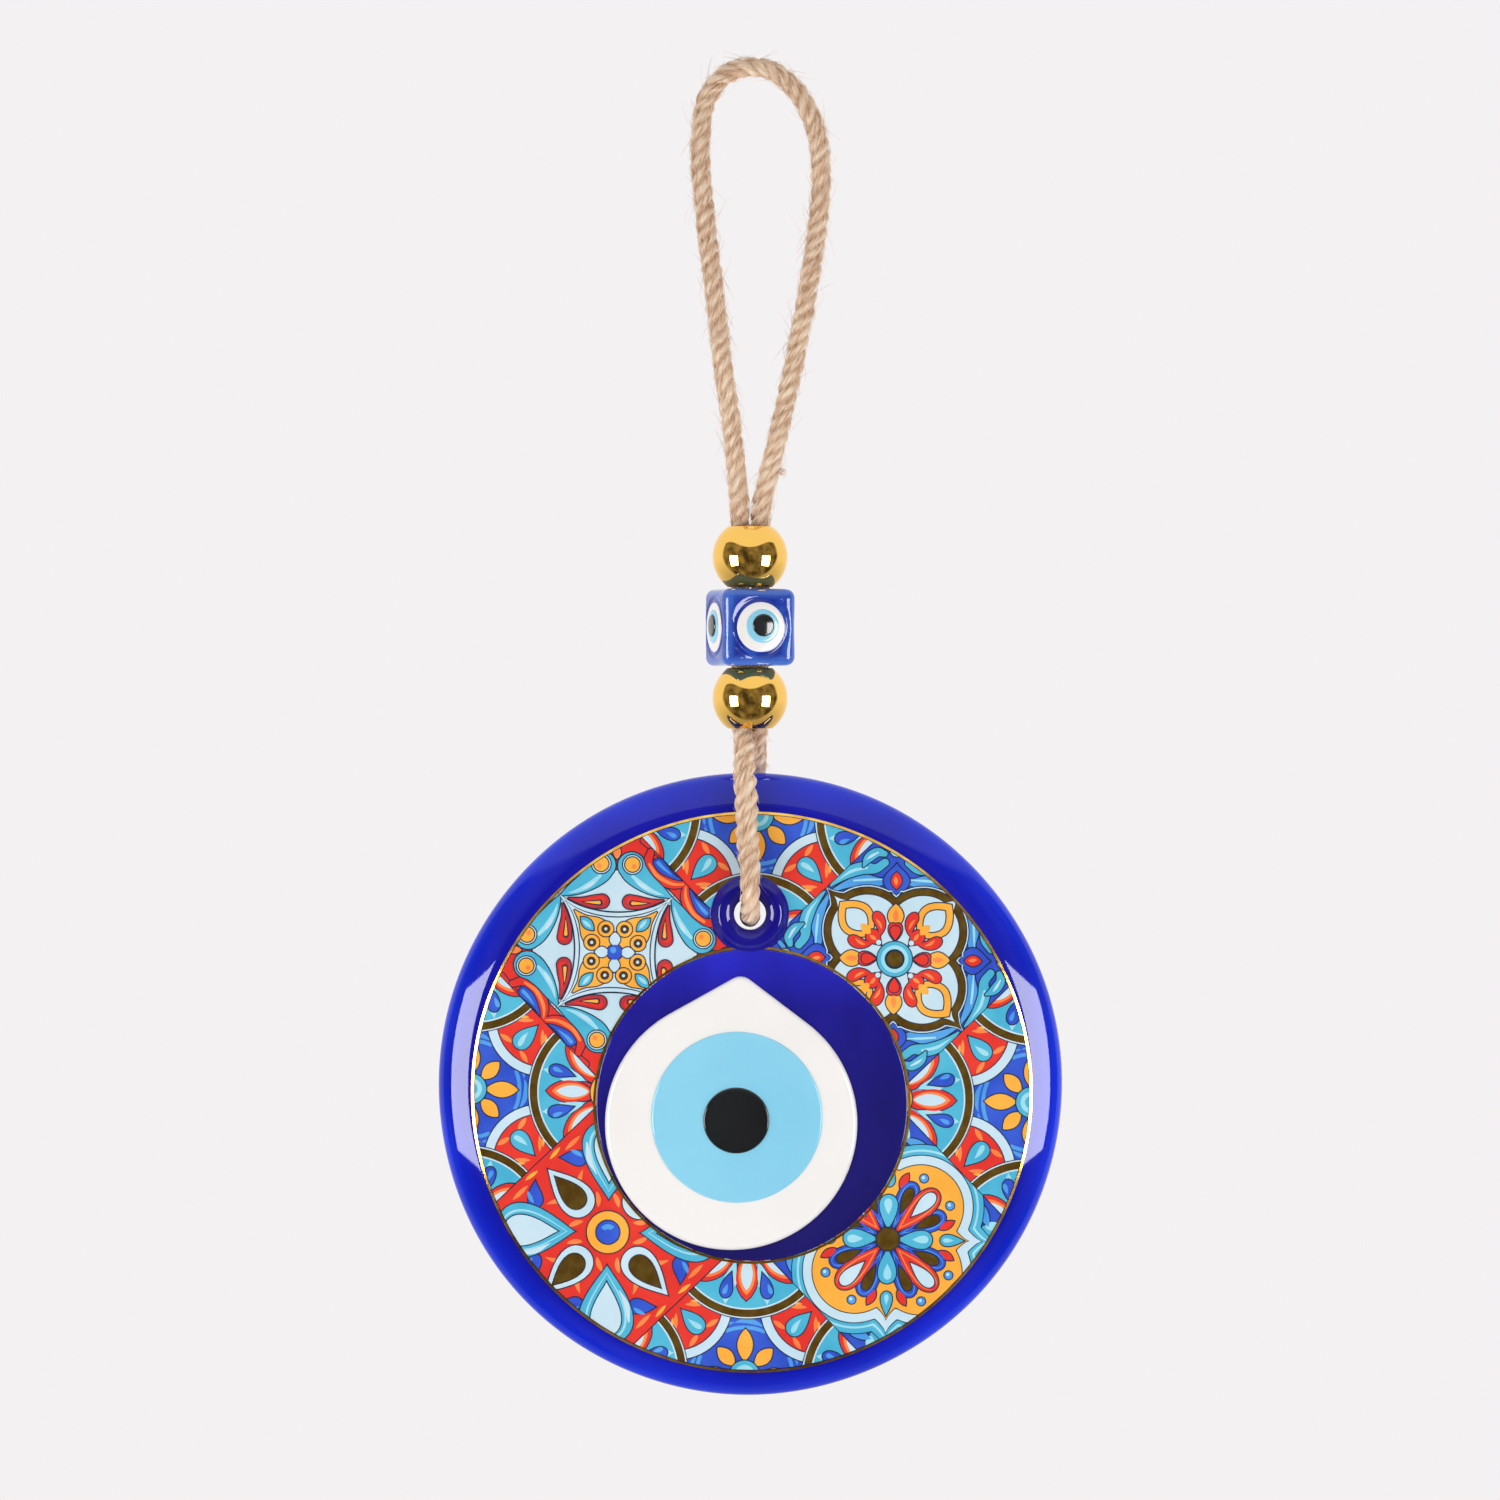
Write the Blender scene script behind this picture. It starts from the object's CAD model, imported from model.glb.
"""The looks of a glass evil eye ornament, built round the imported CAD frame.

Lengths are in metres, +Z is up and the face looks along -Y.
"""

import math
import random

import bmesh
import bpy
import numpy as np
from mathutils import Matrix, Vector


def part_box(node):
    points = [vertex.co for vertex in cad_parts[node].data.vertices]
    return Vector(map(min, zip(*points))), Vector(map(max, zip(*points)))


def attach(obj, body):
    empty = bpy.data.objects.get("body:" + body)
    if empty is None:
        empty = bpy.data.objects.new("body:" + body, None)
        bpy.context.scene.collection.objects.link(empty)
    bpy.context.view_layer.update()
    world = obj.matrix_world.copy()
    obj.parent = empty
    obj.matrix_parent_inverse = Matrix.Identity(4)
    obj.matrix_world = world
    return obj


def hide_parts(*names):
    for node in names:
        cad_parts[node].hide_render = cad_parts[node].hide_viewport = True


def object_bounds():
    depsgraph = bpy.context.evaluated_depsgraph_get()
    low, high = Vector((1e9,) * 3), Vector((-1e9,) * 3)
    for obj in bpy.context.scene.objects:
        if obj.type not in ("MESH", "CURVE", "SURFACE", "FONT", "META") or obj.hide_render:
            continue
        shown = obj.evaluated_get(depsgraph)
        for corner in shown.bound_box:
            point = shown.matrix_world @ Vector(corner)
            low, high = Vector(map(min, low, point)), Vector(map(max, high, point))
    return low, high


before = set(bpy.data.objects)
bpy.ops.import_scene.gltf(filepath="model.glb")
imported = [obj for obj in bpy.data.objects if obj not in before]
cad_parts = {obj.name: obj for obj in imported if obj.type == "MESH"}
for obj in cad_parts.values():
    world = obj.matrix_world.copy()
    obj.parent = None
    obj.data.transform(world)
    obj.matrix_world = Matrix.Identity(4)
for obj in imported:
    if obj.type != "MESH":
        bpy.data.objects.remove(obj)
cad_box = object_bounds()

MM = 0.001

# ---- Places and sizes, from the frame ----
disc_low, disc_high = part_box("glass_disc")
DISC = (disc_low + disc_high) / 2
DISC_RADIUS = (disc_high.x - disc_low.x) / 2
BACK_Y = disc_high.y
FRONT_Y = -BACK_Y

print_low, print_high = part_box("printed_tile_ring")
PRINT = (print_low + print_high) / 2
PRINT_RADIUS = (print_high.x - print_low.x) / 2

foil_low, foil_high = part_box("outer_foil_line")
OUTER_FOIL_RADIUS = (foil_high.x - foil_low.x) / 2
inner_low, inner_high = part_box("inner_foil_line")
MEDALLION = Vector(((inner_low.x + inner_high.x) / 2, 0, inner_low.z + (inner_high.x - inner_low.x) / 2))
MEDALLION_RADIUS = (inner_high.x - inner_low.x) / 2
FOIL_WIDTH = 0.4 * MM

HOLE = Vector((0, 0, DISC.z + 27.4 * MM))
HOLE_RADIUS = 2.55 * MM
LIP_CREST = 4.7 * MM
LIP_RADIUS = 6.15 * MM
LIP_HEIGHT = FRONT_Y - disc_low.y - 0.15 * MM
FLAT_RADIUS = 44.9 * MM
BACK_FLAT_RADIUS = 47.4 * MM
MOUTH_ROUND = 0.8 * MM  # the rounding of the hole's edge on the back
RIM_Y = 0.6 * MM
# The front rim's slope: from and to in degrees, its share of the way, and the number of steps.
RIM_BENDS = ((14, 19, 0.10, 3), (19, 34, 0.52, 12), (34, 90, 0.42, 16))

CORD_DIAMETER = 3.0 * MM
STRAND_X = 1.58
TWIST_SEAM = 63.2
SWING_PIVOT = 58.6
CLEARANCE = 0.3

# The routes of the two cords, in millimetres, heights from the disc's centre.
UPPER_ROUTE = [
    (-STRAND_X, 0, TWIST_SEAM + CLEARANCE / 2),
    (-STRAND_X, 0, 76),
    (-STRAND_X, 0, 89.5),
    (-1.8, 0, 94),
    (-2.3, 0, 99.5),
    (-3.0, 0, 106),
    (-4.2, 0, 114),
    (-5.3, 0, 123.5),
    (-6.4, 0, 132.5),
    (-7.3, 0, 140),
    (-7.9, 0, 147),
    (-7.9, 0, 152.5),
    (-7.1, 0, 157.6),
    (-5.0, 0, 161.1),
    (-1.9, 0, 162.9),
    (1.2, 0, 163.2),
    (4.2, 0, 162.2),
    (7.0, 0, 159.8),
    (9.4, 0, 156.2),
    (10.9, 0, 151.6),
    (11.4, 0, 146.2),
    (11.0, 0, 139.5),
    (9.7, 0, 130),
    (8.1, 0, 121),
    (6.4, 0, 112.5),
    (4.6, 0, 104.5),
    (2.9, 0, 97.5),
    (1.85, 0, 92.5),
    (STRAND_X, 0, 88),
    (STRAND_X, 0, 76),
    (STRAND_X, 0, TWIST_SEAM + CLEARANCE / 2),
]
LOWER_ROUTE = [
    (-STRAND_X, 0, SWING_PIVOT - CLEARANCE / 2),
    (-1.42, -0.7, 57.3),
    (-1.12, -1.25, 55.9),
    (-1.0, -2.6, 53.6),
    (-0.9, -4.2, 50.8),
    (-0.75, -5.3, 47.9),
    (-0.6, -5.7, 44),
    (-0.4, -5.8, 40),
    (-0.2, -6.1, 36.8),
    (0, -6.9, 33.8),
    (0, -7.0, 31.4),
    (0, -6.1, 29.2),
    (0, -4.3, 27.7),
    (0, -2.2, 27.0),
    (0, 0, 26.8),
    (0, 2.3, 27.1),
    (0, 4.2, 28.3),
    (0, 5.4, 30.6),
    (0.1, 5.7, 33.6),
    (0.3, 5.7, 38.5),
    (0.6, 5.7, 44),
    (0.75, 5.4, 48.0),
    (0.9, 4.3, 50.9),
    (1.0, 2.7, 53.5),
    (1.12, 1.25, 55.9),
    (1.42, 0.7, 57.3),
    (STRAND_X, 0, SWING_PIVOT - CLEARANCE / 2),
]


# ---- Camera ----
VIEW_WIDTH = 240 * MM
CAMERA_DISTANCE = 1.2
CAMERA_RISE = 53.6 * MM  # above the disc's middle
SENSOR = 36


def make_camera():
    data = bpy.data.cameras.new("camera")
    data.sensor_width = SENSOR
    data.lens = SENSOR * CAMERA_DISTANCE / VIEW_WIDTH
    camera = bpy.data.objects.new("camera", data)
    camera.location = (0, FRONT_Y - CAMERA_DISTANCE, DISC.z + CAMERA_RISE)
    camera.rotation_euler = (math.pi / 2, 0, 0)
    bpy.context.scene.collection.objects.link(camera)
    bpy.context.scene.camera = camera
    bpy.context.scene.view_settings.view_transform = "Standard"


make_camera()


# ---- Mesh helpers ----
def mesh_piece(name, verts, faces, smooth=True):
    mesh = bpy.data.meshes.new(name)
    mesh.from_pydata([tuple(v) for v in verts], [], faces)
    mesh.validate()
    piece = bpy.data.objects.new(name, mesh)
    bpy.context.scene.collection.objects.link(piece)
    mesh.polygons.foreach_set("use_smooth", [smooth] * len(mesh.polygons))
    return piece


def point_outwards(piece):
    shape = bmesh.new()
    shape.from_mesh(piece.data)
    bmesh.ops.recalc_face_normals(shape, faces=shape.faces)
    shape.to_mesh(piece.data)
    shape.free()


def ring_faces(rings, around, closed_rings=False):
    """Quads between successive rings of the same number of points."""
    faces = []
    for r in range(rings if closed_rings else rings - 1):
        low = r * around
        high = (r + 1) % rings * around
        for i in range(around):
            j = (i + 1) % around
            faces.append((low + i, low + j, high + j, high + i))
    return faces


def capped_rings(name, rings):
    """A closed body from rings of points, with a fan of faces on its first and last ring."""
    around = len(rings[0])
    verts = [p for ring in rings for p in ring]
    faces = ring_faces(len(rings), around)
    for base, ring in ((0, rings[0]), (len(verts) - around, rings[-1])):
        centre = len(verts)
        verts.append(sum((Vector(p) for p in ring), Vector()) / around)
        faces += [(base + i, base + (i + 1) % around, centre) for i in range(around)]
    piece = mesh_piece(name, verts, faces)
    point_outwards(piece)
    return piece


def circle(centre, radius, y, around):
    step = 2 * math.pi / around
    return [
        (centre.x + radius * math.cos(i * step), y, centre.z + radius * math.sin(i * step))
        for i in range(around)
    ]


def smooth_step(value):
    value = min(max(value, 0), 1)
    return value * value * (3 - 2 * value)


# ---- Material helpers ----
def srgb(red, green, blue):
    def linear(value):
        value /= 255
        return value / 12.92 if value <= 0.04045 else ((value + 0.055) / 1.055) ** 2.4

    return (linear(red), linear(green), linear(blue), 1)


class Nodes:
    """A short way to write a node material."""

    def __init__(self, name):
        self.material = bpy.data.materials.new(name)
        self.material.use_nodes = True
        self.tree = self.material.node_tree
        self.shader = self.tree.nodes["Principled BSDF"]

    def add(self, kind, **values):
        node = self.tree.nodes.new(kind)
        for key, value in values.items():
            setattr(node, key, value)
        return node

    def link(self, source, target):
        self.tree.links.new(source, target)

    def set(self, **values):
        for key, value in values.items():
            self.shader.inputs[key.replace("_", " ")].default_value = value

    def noise(self, scale, detail=3, stretch=(1, 1, 1), attribute=None):
        if attribute:
            place = self.add("ShaderNodeAttribute", attribute_name=attribute).outputs["Vector"]
        else:
            place = self.add("ShaderNodeTexCoord").outputs["Object"]
        mapping = self.add("ShaderNodeMapping")
        mapping.inputs["Scale"].default_value = stretch
        texture = self.add("ShaderNodeTexNoise")
        texture.inputs["Scale"].default_value = scale
        texture.inputs["Detail"].default_value = detail
        self.link(place, mapping.inputs["Vector"])
        self.link(mapping.outputs["Vector"], texture.inputs["Vector"])
        return texture.outputs["Fac"]

    def ramp(self, factor, *stops):
        node = self.add("ShaderNodeValToRGB")
        elements = node.color_ramp.elements
        while len(elements) < len(stops):
            elements.new(0.5)
        for element, (place, colour) in zip(elements, stops):
            element.position = place
            element.color = colour
        self.link(factor, node.inputs["Fac"])
        return node.outputs["Color"]

    def times(self, first, second):
        node = self.add("ShaderNodeMix", data_type="RGBA", blend_type="MULTIPLY")
        node.inputs[0].default_value = 1.0
        self.link(first, node.inputs[6])
        self.link(second, node.inputs[7])
        return node.outputs[2]

    def distance(self, centre, across):
        """How far the object's own place is from a centre, along the axes that are 1 in across."""
        offset = self.add("ShaderNodeVectorMath", operation="SUBTRACT")
        offset.inputs[1].default_value = centre
        self.link(self.add("ShaderNodeTexCoord").outputs["Object"], offset.inputs[0])
        flat = self.add("ShaderNodeVectorMath", operation="MULTIPLY")
        flat.inputs[1].default_value = across
        self.link(offset.outputs[0], flat.inputs[0])
        length = self.add("ShaderNodeVectorMath", operation="LENGTH")
        self.link(flat.outputs[0], length.inputs[0])
        return length.outputs["Value"]

    def share(self, value, low, high, curve="LINEAR"):
        """How far a value is on its way from low to high, from 0 to 1."""
        node = self.add("ShaderNodeMapRange", interpolation_type=curve)
        node.inputs["From Min"].default_value = low
        node.inputs["From Max"].default_value = high
        self.link(value, node.inputs["Value"])
        return node.outputs["Result"]

    def remap(self, factor, low, high):
        node = self.add("ShaderNodeMapRange")
        node.inputs["To Min"].default_value = low
        node.inputs["To Max"].default_value = high
        self.link(factor, node.inputs["Value"])
        return node.outputs["Result"]

    def bump(self, factor, distance, strength=1.0):
        node = self.add("ShaderNodeBump")
        node.inputs["Strength"].default_value = strength
        node.inputs["Distance"].default_value = distance
        self.link(factor, node.inputs["Height"])
        self.link(node.outputs["Normal"], self.shader.inputs["Normal"])
        return node


def glass_material(name, dark, light, roughness=0.06, ripple=0.04 * MM, scale=60):
    """Deep coloured pressed glass: cloudy colour, a clear fire-polished surface and slow ripples."""
    nodes = Nodes(name)
    cloud = nodes.noise(scale, 2)
    nodes.link(nodes.ramp(cloud, (0.3, dark), (0.7, light)), nodes.shader.inputs["Base Color"])
    nodes.set(Roughness=roughness, Coat_Weight=0.5, Coat_Roughness=0.02)
    nodes.bump(nodes.noise(90, 1), ripple)
    return nodes.material


def gold_material(name, colour, roughness, grain=0.01 * MM):
    nodes = Nodes(name)
    wear = nodes.noise(400, 4)
    nodes.set(Base_Color=colour, Metallic=1.0)
    nodes.link(nodes.remap(wear, roughness * 0.6, roughness * 1.5), nodes.shader.inputs["Roughness"])
    nodes.bump(nodes.noise(150, 2), grain, 0.4)
    return nodes.material


# ---- Cords: three plies twisted together, with loose fibres ----
PLIES = 3
PLY_RADIUS = 0.96 * MM
PLY_OFFSET = 1.6 * MM - PLY_RADIUS
LAY_LENGTH = 6.8 * MM
FIBRES_PER_MM = 26
PRESSED = 0.18  # how much wider the cord is where it lies along the glass
PRESSING_LENGTH = 9 * MM
HOLE_MARGIN = 5 * MM  # no pressing nearer to the hole than this


def smooth_route(route, step):
    """Evenly spaced points on a smooth curve through the route, in metres, with the curve's directions."""
    points = np.array(route, float) * MM
    points[:, 2] += DISC.z
    gaps = np.linalg.norm(np.diff(points, axis=0), axis=1)
    knots = np.concatenate(([0], np.cumsum(gaps)))
    slopes = np.gradient(points, knots, axis=0)
    dense = np.linspace(0, knots[-1], int(knots[-1] / step * 4))
    cell = np.clip(np.searchsorted(knots, dense, side="right") - 1, 0, len(gaps) - 1)
    width = gaps[cell]
    t = ((dense - knots[cell]) / width)[:, None]
    width = width[:, None]
    curve = (
        (2 * t**3 - 3 * t**2 + 1) * points[cell]
        + (t**3 - 2 * t**2 + t) * width * slopes[cell]
        + (3 * t**2 - 2 * t**3) * points[cell + 1]
        + (t**3 - t**2) * width * slopes[cell + 1]
    )
    along = np.concatenate(([0], np.cumsum(np.linalg.norm(np.diff(curve, axis=0), axis=1))))
    count = int(along[-1] / step) + 1
    even = np.linspace(0, along[-1], count)
    centre = np.stack([np.interp(even, along, curve[:, k]) for k in range(3)], axis=1)
    direction = np.gradient(centre, axis=0)
    direction /= np.linalg.norm(direction, axis=1)[:, None]
    return even, centre, direction


def carried_frames(direction):
    """A side vector and a third vector for each point, turned as little as possible along the curve."""
    sides = []
    side = np.cross(direction[0], (0, 1, 0))
    for tangent in direction:
        side = side - tangent * np.dot(side, tangent)
        side = side / np.linalg.norm(side)
        sides.append(side)
    sides = np.array(sides)
    return sides, np.cross(direction, sides)


def ply_outline(angle):
    """The rope's radius at an angle from its nearest ply's middle."""
    nearest = (angle + math.pi / PLIES) % (2 * math.pi / PLIES) - math.pi / PLIES
    across = PLY_OFFSET * np.sin(nearest)
    return PLY_OFFSET * np.cos(nearest) + np.sqrt(PLY_RADIUS**2 - across**2)


def make_rope(name, route, seed, pressed=0, around=42, step=0.3 * MM):
    """A rope along a route. Between the beads and the hole it may be pressed wider than round, by a share."""
    along, centre, direction = smooth_route(route, step)
    side, third = carried_frames(direction)
    theta = np.arange(around) * 2 * math.pi / around
    lay = 2 * math.pi * along / LAY_LENGTH
    dice = random.Random(seed)
    waves = [(dice.uniform(1, 14) / MM / 10, dice.uniform(0, 6.28), dice.randint(1, 5)) for _ in range(14)]
    swell = sum(
        np.sin(along[:, None] * rate + phase + turns * (theta[None, :] - lay[:, None]))
        for rate, phase, turns in waves
    ) / math.sqrt(len(waves))
    unevenness = sum(np.sin(along * rate * 0.4 + phase) for rate, phase, _ in waves) / len(waves)
    lay = lay + unevenness * 1.2
    outline = ply_outline(theta[None, :] - lay[:, None])
    radius = outline * (1 + 0.05 * swell)
    spots = (
        centre[:, None, :]
        + radius[:, :, None] * np.cos(theta)[None, :, None] * side[:, None, :]
        + radius[:, :, None] * np.sin(theta)[None, :, None] * third[:, None, :]
    )
    below = np.clip((lower_bead_low.z - centre[:, 2]) / PRESSING_LENGTH, 0, 1)
    above = np.clip((centre[:, 2] - HOLE.z - HOLE_MARGIN) / PRESSING_LENGTH, 0, 1)
    share = np.minimum(below, above)
    wider = 1 + pressed * share * share * (3 - 2 * share)
    spots[:, :, 0] = centre[:, None, 0] + (spots[:, :, 0] - centre[:, None, 0]) * wider[:, None]
    rope = capped_rings(name, [[tuple(p) for p in ring] for ring in spots])
    shade = rope.data.attributes.new("valley", "FLOAT", "POINT")
    place = rope.data.attributes.new("lay", "FLOAT_VECTOR", "POINT")
    deepest = ply_outline(math.pi / PLIES)
    crest = ply_outline(0)
    depth = (crest - outline) / (crest - deepest)
    shade.data.foreach_set("value", list(depth.ravel()) + [0, 0])
    twist = theta[None, :] - lay[:, None] * 0.3
    flat = np.stack([
        np.cos(twist) * CORD_DIAMETER / 2,
        np.sin(twist) * CORD_DIAMETER / 2,
        np.repeat(along[:, None], around, axis=1),
    ], axis=2)
    place.data.foreach_set("vector", list(flat.ravel()) + [0] * 6)
    return rope, along, centre, direction, side, third


def add_hair(verts, faces, middles, sizes, first, second):
    """A thin three-sided hair round a row of places, in the plane of two directions."""
    base = len(verts)
    for middle, size in zip(middles, sizes):
        for k in range(3):
            turn = 2 * math.pi * k / 3
            verts.append(tuple(middle + size * (math.cos(turn) * first + math.sin(turn) * second)))
    for i in range(len(middles) - 1):
        for k in range(3):
            a = base + i * 3 + k
            b = base + i * 3 + (k + 1) % 3
            faces.append((a, b, b + 3, a + 3))


def make_fibres(name, rope_facts, seed, per_mm, keep):
    """Loose fibres that stand off the rope: thin bent three-sided hairs."""
    along, centre, direction, side, third = rope_facts
    dice = random.Random(seed)
    verts, faces = [], []
    for _ in range(int(along[-1] / MM * per_mm)):
        spot = dice.randrange(len(along))
        long_hair = dice.random() < 0.06
        length = dice.uniform(1.8, 4.2) * MM if long_hair else dice.uniform(0.6, 1.8) * MM
        thick = dice.uniform(0.03, 0.06) * MM
        angle = dice.uniform(0, 2 * math.pi)
        outward = side[spot] * math.cos(angle) + third[spot] * math.sin(angle)
        sideways = side[spot] * -math.sin(angle) + third[spot] * math.cos(angle)
        heading = direction[spot] * dice.choice((-1, 1)) + sideways * dice.uniform(-0.7, 0.7)
        lift = dice.uniform(0.3, 0.9) if long_hair else dice.uniform(0.02, 0.45)
        curl = dice.uniform(-0.6, 0.6)
        start = centre[spot] + outward * CORD_DIAMETER * 0.47
        if not keep(start):
            continue
        steps = 5 if long_hair else 3
        shares = [i / steps for i in range(steps + 1)]
        middles = [
            start
            + heading * length * t
            + outward * length * lift * t * (1 - 0.35 * t)
            + sideways * length * curl * t * t
            for t in shares
        ]
        add_hair(verts, faces, middles, [thick * (1 - 0.7 * t) for t in shares], outward, sideways)
    return mesh_piece(name, verts, faces)


def jute_material(name, along=None):
    """Jute: pale and brown fibres along each ply, darker between the plies."""
    nodes = Nodes(name)
    strand = nodes.noise(2600, 5, (1, 1, 0.16), along)
    colour = nodes.ramp(
        strand,
        (0.3, srgb(184, 146, 115)),
        (0.46, srgb(240, 207, 176)),
        (0.64, srgb(253, 240, 216)),
    )
    tint = nodes.ramp(nodes.noise(420, 3), (0.35, (0.88, 0.82, 0.79, 1)), (0.65, (1, 1, 1, 1)))
    valley = nodes.add("ShaderNodeAttribute", attribute_name="valley")
    dirt = nodes.ramp(valley.outputs["Fac"], (0.1, (1, 1, 1, 1)), (1.0, (0.78, 0.68, 0.6, 1)))
    nodes.link(nodes.times(nodes.times(colour, tint), dirt), nodes.shader.inputs["Base Color"])
    nodes.set(Roughness=0.85, Sheen_Weight=0.25, Sheen_Roughness=0.5)
    nodes.bump(nodes.noise(3000, 4, (1, 1, 0.14), along), 0.3 * MM, 0.9)
    return nodes.material


def fibre_material(name):
    nodes = Nodes(name)
    nodes.link(
        nodes.ramp(nodes.noise(300, 2), (0.35, srgb(214, 178, 142)), (0.65, srgb(252, 232, 206))),
        nodes.shader.inputs["Base Color"],
    )
    nodes.set(Roughness=0.8, Sheen_Weight=0.2)
    return nodes.material


jute = jute_material("jute", "lay")
jute_inside = jute_material("jute_inside")
fibre = fibre_material("jute_fibre")

upper_bead_low, upper_bead_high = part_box("upper_gold_bead")
lower_bead_low, lower_bead_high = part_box("lower_gold_bead")


# How far the loose fibres stay from the disc: above its rim, above its hole, and from its middle plane.
RIM_ROOM = 1.5 * MM
HOLE_ROOM = 4 * MM
GLASS_ROOM = 5.3 * MM


def clear_of_beads(point):
    return point[2] > upper_bead_high.z


def clear_of_disc(point):
    """Below the beads, and on the side of the cord that faces away from the glass."""
    if point[2] > disc_high.z + RIM_ROOM:
        return point[2] < lower_bead_low.z
    return point[2] > HOLE.z + HOLE_ROOM and abs(point[1]) > GLASS_ROOM


TUFT_PLACE = (4.5, 0, 97.6)
TUFT_FIBRES = 18
TUFT_STEPS = 7


def make_tuft(centre, seed=31):
    """A frayed spot on the right leg: a small clump of curled fibres."""
    target = np.array(TUFT_PLACE) * MM + (0, 0, DISC.z)
    spot = centre[np.argmin(np.linalg.norm(centre - target, axis=1))]
    dice = random.Random(seed)
    verts, faces = [], []
    shares = [i / TUFT_STEPS for i in range(TUFT_STEPS + 1)]
    for _ in range(TUFT_FIBRES):
        start = spot + np.array((1.35, dice.uniform(-0.4, 0.4), dice.uniform(-0.3, 0.7))) * MM
        reach = dice.uniform(0.6, 1.6) * MM
        fall = dice.uniform(-0.1, 1.5) * MM
        aside = dice.uniform(-0.6, 0.6) * MM
        thick = dice.uniform(0.04, 0.08) * MM
        curl = dice.uniform(0.6, 1.0)
        middles = [
            start + (reach * math.sin(math.pi * curl * t), aside * t, -fall * t * t + 0.3 * MM * t)
            for t in shares
        ]
        sizes = [thick * (1 - 0.6 * t) for t in shares]
        add_hair(verts, faces, middles, sizes, np.array((0, 1, 0)), np.array((0, 0, 1)))
    tuft = mesh_piece("upper_cord_tuft", verts, faces)
    tuft.data.materials.append(fibre)
    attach(tuft, "hanging_cord")


def make_cords():
    plans = (
        ("upper_cord_rope", UPPER_ROUTE, "upper_cord", "hanging_cord", 11, 0, clear_of_beads),
        ("lower_cord_rope", LOWER_ROUTE, "lower_cord", "lower_loop", 12, PRESSED, clear_of_disc),
    )
    for name, route, node, body, seed, pressed, clear in plans:
        rope, *facts = make_rope(name, route, seed, pressed)
        rope.data.materials.append(jute)
        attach(rope, body)
        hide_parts(node)
        hairs = make_fibres(name.replace("rope", "fibres"), facts, seed + 20, FIBRES_PER_MM, clear)
        hairs.data.materials.append(fibre)
        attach(hairs, body)
        if node == "upper_cord":
            make_tuft(facts[1])
    for node in ("twist_strand_left", "twist_strand_right"):
        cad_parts[node].data.materials.clear()
        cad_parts[node].data.materials.append(jute_inside)


make_cords()


# ---- Glass disc ----
AROUND_DISC = 320


# Waves round the rim: height in millimetres, number of waves, and start in radians.
RIM_WAVES = ((0.10, 2, 0.6), (0.07, 3, 2.1), (0.03, 7, 0))


def rim_wobble(x, z):
    """The slight unevenness of a hand-pressed rim."""
    angle = math.atan2(z, x)
    return sum(height * math.sin(waves * angle + start) for height, waves, start in RIM_WAVES) * MM


def lip_rise(distance):
    """How far the glass stands out of the front face, at a distance from the hole's middle."""
    if distance <= LIP_CREST:
        return LIP_HEIGHT
    fade = (distance - LIP_CREST) / (LIP_RADIUS + 0.5 * MM - LIP_CREST)
    if fade >= 1:
        return 0
    return LIP_HEIGHT * (math.cos(fade * math.pi) + 1) / 2


def front_rim():
    """The front rim as (radius, y): a gentle slope that starts at a crease, then a quick turn to the edge."""
    points = [(0.0, 0.0)]
    for start, stop, share, steps in RIM_BENDS:
        for i in range(steps):
            slope = math.radians(start + (stop - start) * (i + 0.5) / steps)
            radius, depth = points[-1]
            points.append((radius + share / steps * math.cos(slope), depth + share / steps * math.sin(slope)))
    wide, deep = points[-1]
    return [
        (
            FLAT_RADIUS + (DISC_RADIUS - FLAT_RADIUS) * radius / wide,
            FRONT_Y + (RIM_Y - FRONT_Y) * depth / deep,
        )
        for radius, depth in points
    ]


def disc_profile():
    """Rings as (centre, radius, y), from the hole's wall out over the front, round the rim and back."""
    rings = []
    flare = LIP_CREST - HOLE_RADIUS
    flare_depth = 1.6 * MM
    lip_top = FRONT_Y - LIP_HEIGHT
    for i in range(9):
        angle = math.pi / 2 * i / 8
        depth = flare_depth * (1 - math.sin(angle))
        rings.append((HOLE, LIP_CREST - flare * math.cos(angle), lip_top + depth))
    last = LIP_RADIUS + 0.6 * MM
    for i in range(1, 15):
        radius = LIP_CREST + (last - LIP_CREST) * i / 14
        rings.append((HOLE, radius, FRONT_Y - lip_rise(radius)))
    for i in range(1, 25):
        share = i / 25
        centre = HOLE.lerp(DISC, share)
        rings.append((centre, last + (FLAT_RADIUS - last) * share, FRONT_Y))
    rings += [(DISC, radius, y) for radius, y in front_rim()]
    for i in range(1, 15):
        angle = math.pi / 2 * i / 14
        rings.append((
            DISC,
            BACK_FLAT_RADIUS + (DISC_RADIUS - BACK_FLAT_RADIUS) * math.cos(angle),
            RIM_Y + (BACK_Y - RIM_Y) * math.sin(angle),
        ))
    mouth = HOLE_RADIUS + MOUTH_ROUND
    for i in range(1, 17):
        share = i / 17
        rings.append((DISC.lerp(HOLE, share), BACK_FLAT_RADIUS + (mouth - BACK_FLAT_RADIUS) * share, BACK_Y))
    for i in range(0, 7):
        angle = math.pi / 2 * i / 6
        depth = MOUTH_ROUND * (1 - math.cos(angle))
        rings.append((HOLE, mouth - MOUTH_ROUND * math.sin(angle), BACK_Y - depth))
    for i in range(1, 4):
        share = i / 4
        y = BACK_Y - MOUTH_ROUND + (lip_top + flare_depth - BACK_Y + MOUTH_ROUND) * share
        rings.append((HOLE, HOLE_RADIUS, y))
    return rings


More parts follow.
